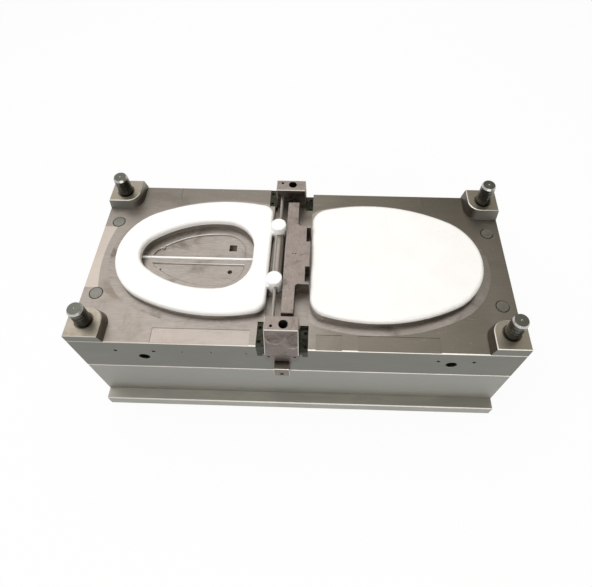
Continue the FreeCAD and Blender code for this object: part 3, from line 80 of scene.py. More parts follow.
def new_material(name):
    """An empty node material with a Principled shader, and the object's own coordinates."""
    material = bpy.data.materials.new(name)
    material.use_nodes = True
    tree = material.node_tree
    tree.nodes.clear()
    place = add_node(tree, "ShaderNodeTexCoord")
    return material, tree, place


def shade(tree, links, **constants):
    """Ends a material: constants go on the shader's own sockets, patterns come in as links."""
    named = {key.replace("_", " "): value for key, value in constants.items()}
    shader = add_node(tree, "ShaderNodeBsdfPrincipled", {**named, **links})
    add_node(tree, "ShaderNodeOutputMaterial", {"Surface": shader.outputs[0]})


def noise(tree, place, size_mm, stretch=(1, 1, 1), detail=4.0, roughness=0.55, distortion=0.0):
    """Noise whose blots are about size_mm across, drawn out by the stretch along each axis."""
    scale = [1000 / size_mm / part for part in stretch]
    mapping = add_node(tree, "ShaderNodeMapping", {"Vector": place.outputs["Object"], "Scale": scale})
    return add_node(tree, "ShaderNodeTexNoise", {
        "Vector": mapping.outputs[0], "Scale": 1.0, "Detail": detail,
        "Roughness": roughness, "Distortion": distortion}).outputs["Fac"]


def remap(tree, value, low, high, to_low=0.0, to_high=1.0):
    return add_node(tree, "ShaderNodeMapRange", {
        "Value": value, "From Min": low, "From Max": high, "To Min": to_low, "To Max": to_high},
        interpolation_type="SMOOTHSTEP").outputs[0]


def blend(tree, factor, first, second):
    return add_node(tree, "ShaderNodeMix", {0: factor, 6: first, 7: second},
                    data_type="RGBA").outputs[2]


def maths(tree, operation, first, second=0.0):
    return add_node(tree, "ShaderNodeMath", {0: first, 1: second}, operation=operation).outputs[0]


def face_lean(tree, place, axis):
    """How squarely a face looks along an axis of its object: 1 when it faces it, 0 across it."""
    parts = add_node(tree, "ShaderNodeSeparateXYZ", {0: place.outputs["Normal"]})
    return maths(tree, "ABSOLUTE", parts.outputs[axis])


def edge_highlight_mask(tree, place):
    """1 where the steels paint a highlight: on the edges that ease_edges grinds and on chamfers that
    lean halfway upward, else 0.
    """
    rise = face_lean(tree, place, 2)
    chamfer = maths(tree, "MULTIPLY", remap(tree, rise, *CHAMFER_FLATTEST),
                    remap(tree, rise, *CHAMFER_STEEPEST))
    eased = add_node(tree, "ShaderNodeAttribute", attribute_name=GROUND_EDGE)
    return maths(tree, "MAXIMUM", chamfer, eased.outputs["Fac"])


def parts_of(tree, vector):
    """The three parts of a vector, as one output each."""
    return add_node(tree, "ShaderNodeSeparateXYZ", {0: vector}).outputs


def near(tree, value, level, reach):
    """1 where a value lies within reach of a level, else 0."""
    compared = add_node(tree, "ShaderNodeMath", {
        0: value, 1: level, 2: reach}, operation="COMPARE")
    return compared.outputs[0]


def away_from(tree, place, spot):
    """How far each point lies from a line along Y through a spot given as x and z."""
    across = add_node(tree, "ShaderNodeVectorMath", {
        0: place.outputs["Object"], 1: (1, 0, 1)}, operation="MULTIPLY")
    return add_node(tree, "ShaderNodeVectorMath", {
        0: across.outputs[0], 1: (spot[0], 0, spot[1])}, operation="DISTANCE").outputs["Value"]


def from_pins(tree, place, spot):
    """How far each point lies from the upright axis of the nearest of four pins, which stand at
    plus and minus the spot's x and y."""
    folded = add_node(tree, "ShaderNodeVectorMath", {0: place.outputs["Object"]}, operation="ABSOLUTE")
    flat = add_node(tree, "ShaderNodeVectorMath", {
        0: folded.outputs[0], 1: (1, 1, 0)}, operation="MULTIPLY")
    return add_node(tree, "ShaderNodeVectorMath", {
        0: flat.outputs[0], 1: (*spot, 0)}, operation="DISTANCE").outputs["Value"]


def worked_steel(name, clean, worn, stain, lay=(14, 1, 1), grain=0.9, patch=60, stained=(0.52, 0.72),
                 roughness=(0.28, 0.5), bright=None, dress=None, bump=0.2, scratched=0.4,
                 last=None):
    """Machined tool steel: lines left by the cutter or the wheel along the lay, patches of oil and
    finger marks, fine scratches across them, and a painted highlight on ground chamfers and on
    faces that lean halfway upward. Its dress adds what one finish has of its own, and says where
    its surface is calm, without lines or marks. The last layer lies over everything, also over
    the painted highlight."""
    material, tree, place = new_material(name)
    lines = noise(tree, place, grain, lay, detail=3)
    patches = noise(tree, place, patch, (1.6, 1, 1), detail=5, roughness=0.6, distortion=0.8)
    specks = noise(tree, place, 5, detail=6, roughness=0.7)
    scratch = noise(tree, place, 26, (7, 1, 1), detail=2, distortion=2.5)
    base = blend(tree, remap(tree, lines, 0.35, 0.65), colour(clean), colour(worn))
    film = maths(tree, "MULTIPLY", remap(tree, patches, *stained),
                 remap(tree, specks, 0.25, 0.6, 0.45, 1))
    base = blend(tree, film, base, colour(stain))
    thin = remap(tree, maths(tree, "ABSOLUTE", maths(tree, "SUBTRACT", scratch, 0.5)), 0.012, 0.0)
    thin = maths(tree, "MULTIPLY", thin, remap(tree, specks, 0.45, 0.6))
    rough = remap(tree, maths(tree, "ADD", maths(tree, "MULTIPLY", lines, 0.5),
                              maths(tree, "MULTIPLY", patches, 0.5)), 0.3, 0.7, *roughness)
    strength = bump
    if dress:
        base, calm = dress(tree, place, base, patches)
        busy = maths(tree, "SUBTRACT", 1.0, calm)
        thin = maths(tree, "MULTIPLY", thin, busy)
        strength = maths(tree, "MULTIPLY", maths(tree, "MAXIMUM", busy, CALM_BUMP), bump)
        rough = maths(tree, "ADD", rough, maths(tree, "MULTIPLY", calm, CALM_ROUGHNESS))
    if bright:
        base = blend(tree, maths(tree, "MULTIPLY", thin, scratched), base, colour(bright))
        # The shine is a painted highlight: near-white colour on chamfers and on faces that lean halfway
        # upward
        shine = maths(tree, "MULTIPLY", edge_highlight_mask(tree, place), EDGE_SHINE)
        base = blend(tree, shine, base, colour(bright))
    if last:
        base = last(tree, place, base)
    height = maths(tree, "SUBTRACT", lines, maths(tree, "MULTIPLY", thin, 0.6))
    normal = add_node(tree, "ShaderNodeBump", {
        "Height": height, "Strength": strength, "Distance": LINE_DEPTH})
    shade(tree, {"Base Color": base, "Roughness": rough, "Normal": normal.outputs[0]}, Metallic=1.0)
    return material


def dress_plate(tree, place, base, patches):
    """Smeared at the seat's front corner; olive on the lid's side from an oil film and painted shade,
    and on the lid's relief floor from painted shade; darker along the back; paler and faintly pink
    on the front of the seat's relief floor; burnished on its seat end and its bosses; and a smooth
    neutral grey on upright faces, painted lighter below the core plate as painted light, with
    wisps low down that are a painted reflection."""
    x, y, z = parts_of(tree, place.outputs["Object"])
    half_width = maths(tree, "ABSOLUTE", y)
    ragged = maths(tree, "MULTIPLY", maths(tree, "SUBTRACT", patches, 0.5), RAGGED_REACH)
    wavy_x, wavy_y = maths(tree, "ADD", x, ragged), maths(tree, "ADD", y, ragged)
    # Olive on the lid's side: an oil film, and painted shade for the darker reflection there
    lid_side = maths(tree, "MULTIPLY", remap(tree, wavy_x, *OIL_START), remap(tree, x, *OIL_END))
    base = blend(tree, lid_side, base, colour(OIL_AND_SHADE_OLIVE))
    # Darker along the back strip
    base = blend(tree, remap(tree, wavy_y, *BACK_STRIP), base, colour(BACK_DARKENING))
    base = blend(tree, remap(tree, z, *BOSS_RISE), base, colour(BOSS_TONE))
    smear = noise(tree, place, 70, (1, 1.5, 1), detail=9, roughness=0.72, distortion=0.4)
    corner = maths(tree, "MULTIPLY", remap(tree, wavy_x, *SMEAR_X), remap(tree, wavy_y, *SMEAR_Y))
    smear = maths(tree, "MULTIPLY", corner, remap(tree, smear, *SMEAR_SPREAD))
    base = blend(tree, smear, base, colour(CORNER_SMEAR))
    panel = maths(tree, "MULTIPLY", maths(tree, "MULTIPLY", half_width, half_width), PANEL_BOW)
    panel = remap(tree, maths(tree, "SUBTRACT", x, panel), *PANEL_EDGE)
    panel = maths(tree, "MULTIPLY", panel, remap(tree, half_width, *PANEL_WIDTH))
    base = blend(tree, panel, base, colour(BURNISHED))
    # Paler and faintly pink on the seat's relief floor, more so towards the front
    seat_floor = maths(tree, "MULTIPLY", near(tree, z, SEAT_RELIEF_FLOOR, RELIEF_REACH),
                       remap(tree, y, *SEAT_FLOOR_FRONT))
    base = blend(tree, seat_floor, base, colour(SEAT_FLOOR_PINK))
    # Painted shade: the lid's sunken relief floor darkened olive
    lid_floor = maths(tree, "MULTIPLY", near(tree, z, LID_RELIEF_FLOOR, RELIEF_REACH), LID_FLOOR_SHADE_SHARE)
    base = blend(tree, lid_floor, base, colour(LID_FLOOR_SHADE))
    below = maths(tree, "LESS_THAN", z, CORE_PLATE[0].z)
    calm = maths(tree, "MAXIMUM", remap(tree, face_lean(tree, place, 1), *UPRIGHT), below)
    # Painted light: all below the core plate is a lighter grey than the flanks above
    side = blend(tree, below, colour(FLANK_GREY), colour(LOW_LIGHTENED_GREY))
    # Painted reflection: pale wisps low on the rails and the clamp plate
    wisps = noise(tree, place, 45, (4, 1, 1), detail=4, roughness=0.6, distortion=1.2)
    low = maths(tree, "MULTIPLY", remap(tree, z, *WISP_HEIGHT), remap(tree, wisps, *WISP_SPREAD))
    side = blend(tree, low, side, colour(WISP_REFLECTION))
    return blend(tree, calm, base, side), calm


def grease_and_hole_shade(tree, place, base):
    """Old grease, dark round the pins, and painted shade on the walls and the bottom of each lifting
    hole.
    """
    for spot, radius, grime in PIN_RINGS:
        ring = remap(tree, from_pins(tree, place, spot), radius + GRIME_REACH, radius, 0.0, grime)
        base = blend(tree, ring, base, colour(GREASE_AND_HOLE_SHADE))
    parts = parts_of(tree, place.outputs["Object"])
    inside = maths(tree, "LESS_THAN", maths(tree, "ABSOLUTE", parts[1]), CORE_PLATE[1].y - SKIN)
    # Painted shade: each lifting hole darkened inside
    for mount in LIFTING_HOLES:
        spot = (mount["pos_m"][0], mount["pos_m"][2])
        hole = remap(tree, away_from(tree, place, spot), *HOLE_RIM)
        base = blend(tree, maths(tree, "MULTIPLY", hole, inside), base, colour(GREASE_AND_HOLE_SHADE))
    return base


def dress_core(tree, place, base, patches):
    """Upright walls of the cores, painted brighter than their flat tops: a painted reflection."""
    wall = remap(tree, face_lean(tree, place, 2), *CORE_WALL)
    return blend(tree, wall, base, colour(WALL_SHEEN)), 0.0


def dress_slide(tree, place, base, patches):
    """Grease rubbed over the sloping heel: a dark smudge above, a wiped band below, and faint worn
    crescents where a wedge has slid on it. The upright face below the heel gets painted shade in
    the same brown. The stop blocks under it have a browner skin."""
    x, y, z = parts_of(tree, place.outputs["Object"])
    slope = remap(tree, face_lean(tree, place, 1), *SLOPING)
    slope = maths(tree, "MULTIPLY", slope, remap(tree, z, *SLOPE_FOOT))
    rubbed = noise(tree, place, 18, (2.2, 1, 1), detail=4, roughness=0.6, distortion=1.5)
    height = maths(tree, "MULTIPLY", remap(tree, z, *SMUDGE_FOOT), remap(tree, z, *SMUDGE_HEAD))
    smear = maths(tree, "MULTIPLY", maths(tree, "MULTIPLY", slope, height),
                  remap(tree, rubbed, *SMUDGE_SPREAD))
    base = blend(tree, smear, base, colour(SMEAR_AND_SHADE_BROWN))
    for spot, radius, shade_code in CRESCENTS:
        band = maths(tree, "ABSOLUTE", maths(tree, "SUBTRACT", away_from(tree, place, spot), radius))
        lower = remap(tree, z, spot[1], spot[1] - CRESCENT_FALL)
        band = maths(tree, "MULTIPLY", remap(tree, band, *CRESCENT_LINE), lower)
        band = maths(tree, "MULTIPLY", band, remap(tree, rubbed, *CRESCENT_SPREAD))
        base = blend(tree, maths(tree, "MULTIPLY", band, slope), base, colour(shade_code))
    # Painted shade on the upright face below the heel
    foot = maths(tree, "MULTIPLY", remap(tree, face_lean(tree, place, 1), *SQUARELY),
                 remap(tree, z, *FACE_FOOT_SHADE))
    base = blend(tree, foot, base, colour(SMEAR_AND_SHADE_BROWN))
    base = blend(tree, remap(tree, z, *BLOCK_TOP), base, colour(BLOCK_BROWN))
    return base, maths(tree, "MULTIPLY", slope, SLOPE_CALM)


def dress_ground(tree, place, base, patches):
    """Dark ground pins: a paler, mottled end face on the return pins, a plain dark one on the guide
    pillars, and grime on the shoulder at each pillar's foot."""
    z = parts_of(tree, place.outputs["Object"])[2]
    end = remap(tree, face_lean(tree, place, 2), *SQUARELY)
    mottled = remap(tree, patches, *PIN_MOTTLE)
    base = blend(tree, maths(tree, "MULTIPLY", end, mottled), base, colour(PIN_END))
    pillar_end = maths(tree, "MULTIPLY", end, remap(tree, z, *PILLAR_END_LEVEL))
    base = blend(tree, pillar_end, base, colour(PILLAR_END))
    for level in PILLAR_SHOULDERS:
        shoulder = near(tree, z, level, PILLAR_SHOULDER_REACH)
        base = blend(tree, shoulder, base, colour(SHOULDER_GRIME))
    return base, end


def moulded_plastic():
    """Glossy white injection-moulded plastic: smooth, with a faint orange peel and a trace of
    haze where the surface cooled unevenly."""
    material, tree, place = new_material("moulded_white_polypropylene")
    haze = noise(tree, place, 70, detail=2)
    peel = noise(tree, place, 4, detail=1)
    base = blend(tree, remap(tree, haze, 0.35, 0.7), colour("#F9F9F8"), colour("#F5F5F5"))
    rough = remap(tree, haze, 0.3, 0.7, 0.22, 0.34)
    normal = add_node(tree, "ShaderNodeBump", {"Height": peel, "Strength": 0.06, "Distance": 0.0003})
    shade(tree, {"Base Color": base, "Roughness": rough, "Normal": normal.outputs[0]},
          IOR=1.49, Coat_Weight=0.25, Coat_Roughness=0.12)
    return material


def spring_paint():
    """Baked blue enamel on die-spring wire, rubbed where the coils touch."""
    material, tree, place = new_material("blue_spring_enamel")
    rub = noise(tree, place, 6, detail=5, roughness=0.7)
    base = blend(tree, remap(tree, rub, 0.5, 0.7), colour("#1F3F86"), colour("#16295A"))
    rough = remap(tree, rub, 0.3, 0.7, 0.3, 0.5)
    normal = add_node(tree, "ShaderNodeBump", {"Height": rub, "Strength": 0.15, "Distance": 0.0002})
    shade(tree, {"Base Color": base, "Roughness": rough, "Normal": normal.outputs[0]}, IOR=1.5)
    return material


def floor_paper():
    """White studio paper: the camera sees it near white, with the object's soft shadow."""
    material, tree, place = new_material("white_studio_paper")
    paper = add_node(tree, "ShaderNodeBsdfDiffuse", {"Color": colour("#F2F2F2")})
    glow = add_node(tree, "ShaderNodeEmission", {"Color": colour("#FFFFFF"), "Strength": 1.0})
    path = add_node(tree, "ShaderNodeLightPath")
    seen = add_node(tree, "ShaderNodeMath", {
        0: path.outputs["Is Camera Ray"], 1: path.outputs["Is Glossy Ray"]}, operation="MAXIMUM")
    share = maths(tree, "MULTIPLY", seen.outputs[0], PAPER_GLOW)
    mix = add_node(tree, "ShaderNodeMixShader", {0: share, 1: paper.outputs[0], 2: glow.outputs[0]})
    add_node(tree, "ShaderNodeOutputMaterial", {"Surface": mix.outputs[0]})
    return material


MOUNTS = {mount["name"]: mount for mount in frame["record"]["mounts"]}
LIFTING_HOLES = [mount for name, mount in MOUNTS.items() if name.startswith("lifting_hole")]
CORE_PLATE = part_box("core_plate")
PILLAR_SPOT = tuple(MOUNTS["guide_pillar_back_right"]["pos_m"][:2])
RETURN_PIN_SPOT = (0.506, 0.114)

# All steels: the strength of the painted highlight on a ground edge, and what is left of the tool's
# lines where it is calm
GROUND_EDGE = "ground_edge"
EDGE_SHINE = 0.8
CALM_BUMP = 0.12
CALM_ROUGHNESS = 0.16
LINE_DEPTH = 0.0002

# How a face leans: each pair gives where a mask on the lean begins and where it is full
CHAMFER_FLATTEST = (0.92, 0.84)
CHAMFER_STEEPEST = (0.36, 0.46)
UPRIGHT = (0.75, 0.95)
SLOPING = (0.15, 0.3)
SQUARELY = (0.9, 0.98)

# The plate's top: oil and painted shade on the lid's side, darker along the back, a smear, and a
# burnished end panel
OIL_AND_SHADE_OLIVE = "#706B62"
OIL_START = (-0.05, 0.10)
OIL_END = (0.42, 0.50, 1.0, 0.75)
RAGGED_REACH = 0.16
BACK_DARKENING = "#5E5A52"
BACK_STRIP = (0.08, 0.22, 0.0, 0.6)
CORNER_SMEAR = "#7B7062"
SMEAR_X = (-0.22, -0.34)
SMEAR_Y = (-0.02, -0.12)
SMEAR_SPREAD = (0.44, 0.64, 0.0, 0.6)
BURNISHED = "#B9B0A7"
PANEL_BOW = 1.3
PANEL_EDGE = (-0.5165, -0.5185, 0.0, 0.75)
PANEL_WIDTH = (0.099, 0.096)
BOSS_RISE = (0.3585, 0.3615, 0.0, 0.7)
BOSS_TONE = "#A29B8D"

# The floors of the shallow reliefs: the seat's paler and pinker towards the front, the lid's with
# painted shade
SEAT_RELIEF_FLOOR = 0.3438
LID_RELIEF_FLOOR = 0.3288
RELIEF_REACH = 0.0006
SEAT_FLOOR_FRONT = (0.0, -0.1, 0.0, 0.35)
LID_FLOOR_SHADE_SHARE = 0.45
SEAT_FLOOR_PINK = "#B5ABA5"
LID_FLOOR_SHADE = "#6B665C"

# Upright faces, the rails painted lighter as painted light, and the wisps low on them, a painted
# reflection
FLANK_GREY = "#80807A"
LOW_LIGHTENED_GREY = "#9D9D97"
WISP_REFLECTION = "#ABA9A0"
WISP_HEIGHT = (0.12, 0.05)
WISP_SPREAD = (0.42, 0.62, 0.15, 0.7)

# Grease round the pins and painted shade in the lifting holes, each ring with its pin's place, radius
# and strength
GREASE_AND_HOLE_SHADE = "#2B2A26"
HOLE_RIM = (0.0150, 0.0142)
SKIN = 0.0001
PIN_RINGS = ((PILLAR_SPOT, 0.0222, 0.45), (RETURN_PIN_SPOT, 0.0165, 0.75))
GRIME_REACH = 0.0022

# The cores' upright walls, painted brighter as a painted reflection
WALL_SHEEN = "#C4C0BA"
CORE_WALL = (0.6, 0.3, 0.0, 0.8)

# Pillars and pins
PILLAR_SHOULDERS = (0.361, 0.369)
PILLAR_SHOULDER_REACH = 0.0008
SHOULDER_GRIME = "#5B564C"
PIN_END = "#85847E"
PIN_MOTTLE = (0.35, 0.65, 0.45, 0.85)
PILLAR_END = "#62645E"
PILLAR_END_LEVEL = (0.400, 0.405)

# The slides' heels and the stop blocks. A crescent has its middle as x and z, its radius and colour
SMEAR_AND_SHADE_BROWN = "#554C46"
SLOPE_FOOT = (0.316, 0.322)
SLOPE_CALM = 0.4
SMUDGE_FOOT = (0.345, 0.358)
SMUDGE_HEAD = (0.396, 0.388)
SMUDGE_SPREAD = (0.38, 0.62, 0.0, 0.65)
FACE_FOOT_SHADE = (0.330, 0.322, 0.0, 0.45)
BLOCK_TOP = (0.286, 0.282)
BLOCK_BROWN = "#70695E"
CRESCENT_FALL = 0.012
CRESCENT_LINE = (0.0045, 0.0005)
CRESCENT_SPREAD = (0.40, 0.58, 0.05, 0.45)
CRESCENTS = (
    ((-0.050, 0.386), 0.020, "#463E3A"),
    ((-0.049, 0.384), 0.025, "#B9B0A9"),
    ((-0.010, 0.366), 0.019, "#C6BDB6"),
)

PLATE = worked_steel("oiled_ground_plate_steel", "#928C86", "#8D8781", "#7A736A", bright="#E6E3DE",
                     patch=120, lay=(30, 1, 1), grain=1.4, dress=dress_plate, roughness=(0.34, 0.46),
                     bump=0.06, scratched=0.12, last=grease_and_hole_shade)
CORE = worked_steel("stoned_core_steel", "#8D8782", "#817B75", "#645D54", bright="#DAD7D2",
                    patch=70, lay=(18, 1, 1), grain=1.1, roughness=(0.25, 0.42), bump=0.1,
                    scratched=0.2, dress=dress_core)
SLIDE = worked_steel("ground_slide_steel", "#857C77", "#79716B", "#625953", bright="#E2DED8",
                     patch=35, lay=(1, 16, 1), grain=0.8, dress=dress_slide, bump=0.1, scratched=0.2)
GIB = worked_steel("oiled_strip_steel", "#3C3D34", "#2B2C25", "#1D1E19", bright="#7E7C72", patch=30,
                   grain=1.0, roughness=(0.35, 0.55))
GROUND = worked_steel("hardened_ground_steel", "#5F605A", "#4C4D47", "#35342E", bright="#D9D7D2",
                      patch=25, lay=(1, 1, 0.12), grain=1.2, roughness=(0.18, 0.36),
                      dress=dress_ground)
SCREW = worked_steel("black_oxide_screw", "#24241F", "#1A1A18", "#10100F", patch=12, grain=0.8,
                     roughness=(0.35, 0.55))
BRASS = worked_steel("tarnished_turned_brass", "#8A8474", "#736D5E", "#4F4A3D", patch=12,
                     lay=(1, 12, 1), grain=0.6, roughness=(0.25, 0.45))
BRONZE = worked_steel("bearing_bronze", "#9C7443", "#84602F", "#55401F", patch=20, lay=(1, 12, 1),
                      grain=0.8, roughness=(0.3, 0.5))
PLASTIC = moulded_plastic()
SPRING = spring_paint()

FINISHES = {
    "plate_steel": PLATE,
    "core_steel": CORE,
    "slide_steel": SLIDE,
    "gib_steel": GIB,
    "ground_steel": GROUND,
    "screw_steel": SCREW,
    "brass": BRASS,
    "bronze": BRONZE,
    "spring_steel": SPRING,
    "white_plastic": PLASTIC,
}


def finish_nodes():
    """Gives every CAD node the finish of its material slot."""
    for part in frame["record"]["subparts"]:
        node = NODES[part["node"]]
        node.data.materials.clear()
        node.data.materials.append(FINISHES[part["material_slot"]])


# Sharp edges, ground to narrow chamfers that carry a painted highlight


def ease_edges(node, body, slot, width, chosen):
    """Replaces a node by a copy whose chosen sharp edges are ground to a narrow chamfer. Its new
    faces carry the attribute by which the steels paint a highlight on them."""
    work = bmesh.new()
    work.from_mesh(NODES[node].data)
    bmesh.ops.remove_doubles(work, verts=work.verts, dist=MERGE_REACH)
    bmesh.ops.dissolve_limit(work, angle_limit=FLAT_ANGLE, verts=work.verts, edges=work.edges)
    ground = work.faces.layers.float.new(GROUND_EDGE)
    sharp = [edge for edge in work.edges
             if edge.is_convex and edge.calc_face_angle() > SHARP_ANGLE and chosen(edge)]
    cut = bmesh.ops.bevel(work, geom=sharp, offset=width, segments=1, profile=0.5, affect="EDGES")
    # The chamfer faces are marked for the painted highlight
    for face in cut["faces"]:
        face[ground] = 1.0
    for face in work.faces:
        face.smooth = True
    for edge in work.edges:
        edge.smooth = edge.is_manifold and edge.calc_face_angle() < SHARP_ANGLE
    mesh = bpy.data.meshes.new(f"{node}_eased")
    work.to_mesh(mesh)
    work.free()
    mesh.materials.append(FINISHES[slot])
    piece = bpy.data.objects.new(f"{node}_eased", mesh)
    bpy.context.scene.collection.objects.link(piece)
    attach(piece, body)
    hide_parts(node)


def long_edge(lowest=0.0):
    """Chooses straight edges that are long, so no hole's rim, and lie above a level."""
    def chosen(edge):
        return edge.calc_length() > LONG_EDGE and min(corner.co.z for corner in edge.verts) > lowest
    return chosen


def boss_rim(edge):
    """Chooses the outer rim of a corner boss: level with its top, and away from its pillar."""
    for corner in edge.verts:
        across, along = abs(corner.co.x) - PILLAR_SPOT[0], abs(corner.co.y) - PILLAR_SPOT[1]
        if corner.co.z < BOSS_RISE[1] or math.hypot(across, along) < BOSS_RIM_REACH:
            return False
    return True


def insert_step(edge):
    """Chooses the rims of an insert's top face, round its panel too, but no small hole's rim."""
    level = all(abs(corner.co.z - INSERT_TOP) < MERGE_REACH for corner in edge.verts)
    return level and edge.calc_length() > HOLE_FACET


MERGE_REACH = 0.00001
FLAT_ANGLE = math.radians(0.5)
SHARP_ANGLE = math.radians(32)
BOSS_RIM_REACH = 0.028
INSERT_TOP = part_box("opening_insert_front")[1].z
HOLE_FACET = 0.002
LONG_EDGE = 0.012
CENTRE_PLATE_LEVEL = 0.36
SLIDE_HEEL_LEVEL = 0.302
BOSS_CHAMFER = 0.0016
CENTRE_PLATE_CHAMFER = 0.0014
INSERT_CHAMFER = 0.0018
SLIDE_CHAMFER = 0.0018
BLOCK_CHAMFER = 0.0012


def grind_edges():
    """Grinds the edges of the bosses, the centre plate, the inserts, the slides and the blocks."""
    centre_edge, slide_edge = long_edge(CENTRE_PLATE_LEVEL), long_edge(SLIDE_HEEL_LEVEL)
    ease_edges("core_plate", "mould_base", "plate_steel", BOSS_CHAMFER, boss_rim)
    ease_edges("hinge_centre_plate", "mould_base", "slide_steel", CENTRE_PLATE_CHAMFER, centre_edge)
    for side in ("front", "back"):
        insert, block = f"opening_insert_{side}", f"slide_stop_block_{side}"
        ease_edges(insert, "mould_base", "core_steel", INSERT_CHAMFER, insert_step)
        ease_edges(f"slide_{side}", f"{side}_slide", "slide_steel", SLIDE_CHAMFER, slide_edge)
        ease_edges(block, "mould_base", "slide_steel", BLOCK_CHAMFER, long_edge())


# Pieces that repeat, made with Geometry Nodes


def to_mesh(name, tree, body):
    """Runs a Geometry Nodes tree once, keeps its result as a plain mesh, and puts it on a body."""
    carrier = bpy.data.objects.new(f"{name}_carrier", bpy.data.meshes.new(f"{name}_seed"))
    bpy.context.scene.collection.objects.link(carrier)
    modifier = carrier.modifiers.new("make", "NODES")
    modifier.node_group = tree
    bpy.context.view_layer.update()
    evaluated = carrier.evaluated_get(bpy.context.evaluated_depsgraph_get())
    mesh = bpy.data.meshes.new_from_object(evaluated)
    bpy.data.objects.remove(carrier)
    piece = bpy.data.objects.new(name, mesh)
    bpy.context.scene.collection.objects.link(piece)
    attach(piece, body)
    return piece


def new_tree(name, sizes):
    """A Geometry Nodes tree with one named size input for each entry."""
    tree = bpy.data.node_groups.new(name, "GeometryNodeTree")
    tree.interface.new_socket("Geometry", in_out="OUTPUT", socket_type="NodeSocketGeometry")
    for key, value in sizes.items():
        whole = isinstance(value, int)
        kind = "NodeSocketInt" if whole else "NodeSocketFloat"
        tree.interface.new_socket(key, in_out="INPUT", socket_type=kind).default_value = value
    return tree, add_node(tree, "NodeGroupInput")


def end_tree(tree, geometry, material):
    real = add_node(tree, "GeometryNodeRealizeInstances", {0: geometry})
    dressed = add_node(tree, "GeometryNodeSetMaterial", {
        "Geometry": real.outputs[0], "Material": material})
    add_node(tree, "NodeGroupOutput", {0: dressed.outputs[0]})


# The die springs: flat wire as width and height
WIRE = (0.0062, 0.0085)
WIRE_CORNER = 0.0014
COIL_TURNS = 6.5
COIL_RADIUS = 0.0205
SLEEVE_RADIUS = 0.024

# The lifting holes' thread: its pitch, turns, the radius of its middle line and of its ridge
THREAD_PITCH = 0.003
THREAD_TURNS = 11.0
THREAD_RADIUS = 0.0118
THREAD_RIDGE = 0.0012

# The rims round the inclined holes, which carry the slide steel's painted highlight
RIM_GAP = 0.0003
RIM_RADIUS = 0.0007
RIM_FLATNESS = 0.6


def spring_coils():
    """Four die springs of flat wire round the return pins, from the ejector plates to the plate."""
    low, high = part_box("return_springs")
    length = high.z - low.z
    tree, sizes = new_tree("die_springs", {
        "Turns": COIL_TURNS, "Length": length, "Radius": COIL_RADIUS})
    rise = maths(tree, "SUBTRACT", sizes.outputs["Length"], WIRE[1])
    helix = add_node(tree, "GeometryNodeCurveSpiral", {
        "Resolution": 28, "Rotations": sizes.outputs["Turns"], "Start Radius": sizes.outputs["Radius"],
        "End Radius": sizes.outputs["Radius"], "Height": rise})
    profile = add_node(tree, "GeometryNodeCurvePrimitiveQuadrilateral", {
        "Width": WIRE[0], "Height": WIRE[1]})
    rounded = add_node(tree, "GeometryNodeFilletCurve", {
        "Curve": profile.outputs[0], "Radius": WIRE_CORNER})
    coil = add_node(tree, "GeometryNodeCurveToMesh", {
        "Curve": helix.outputs[0], "Profile Curve": rounded.outputs[0], "Fill Caps": True})
    joined = add_node(tree, "GeometryNodeJoinGeometry")
    for x in (low.x + SLEEVE_RADIUS, high.x - SLEEVE_RADIUS):
        for y in (low.y + SLEEVE_RADIUS, high.y - SLEEVE_RADIUS):
            spot = (x, y, low.z + WIRE[1] / 2)
            placed = add_node(tree, "GeometryNodeTransform", {
                "Geometry": coil.outputs[0], "Translation": spot})
            tree.links.new(placed.outputs[0], joined.inputs[0])
    end_tree(tree, joined.outputs[0], SPRING)
    springs = to_mesh("return_spring_coils", tree, "mould_base")
    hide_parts("return_springs")
    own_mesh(springs)


def lifting_threads():
    """The M24 thread in each lifting hole: one helix of ridge on the wall of its bore."""
    tree, sizes = new_tree("lifting_hole_thread", {
        "Turns": THREAD_TURNS, "Length": THREAD_TURNS * THREAD_PITCH,
        "Radius": THREAD_RADIUS, "Ridge": THREAD_RIDGE})
    helix = add_node(tree, "GeometryNodeCurveSpiral", {
        "Resolution": 24, "Rotations": sizes.outputs["Turns"], "Start Radius": sizes.outputs["Radius"],
        "End Radius": sizes.outputs["Radius"], "Height": sizes.outputs["Length"]})
    ridge = add_node(tree, "GeometryNodeCurvePrimitiveCircle", {
        "Resolution": 3, "Radius": sizes.outputs["Ridge"]})
    coil = add_node(tree, "GeometryNodeCurveToMesh", {
        "Curve": helix.outputs[0], "Profile Curve": ridge.outputs[0], "Fill Caps": True})
    joined = add_node(tree, "GeometryNodeJoinGeometry")
    for mount in LIFTING_HOLES:
        outward = Vector(mount["axis"])
        mouth = Vector(mount["pos_m"]) + outward * (mount["dims"]["length_mm"] / 2000 - THREAD_PITCH)
        turned = add_node(tree, "GeometryNodeTransform", {
            "Geometry": coil.outputs[0], "Translation": mouth,
            "Rotation": (math.copysign(math.pi / 2, outward.y), 0, 0)})
        tree.links.new(turned.outputs[0], joined.inputs[0])
    end_tree(tree, joined.outputs[0], PLATE)
    to_mesh("lifting_hole_threads", tree, "mould_base")


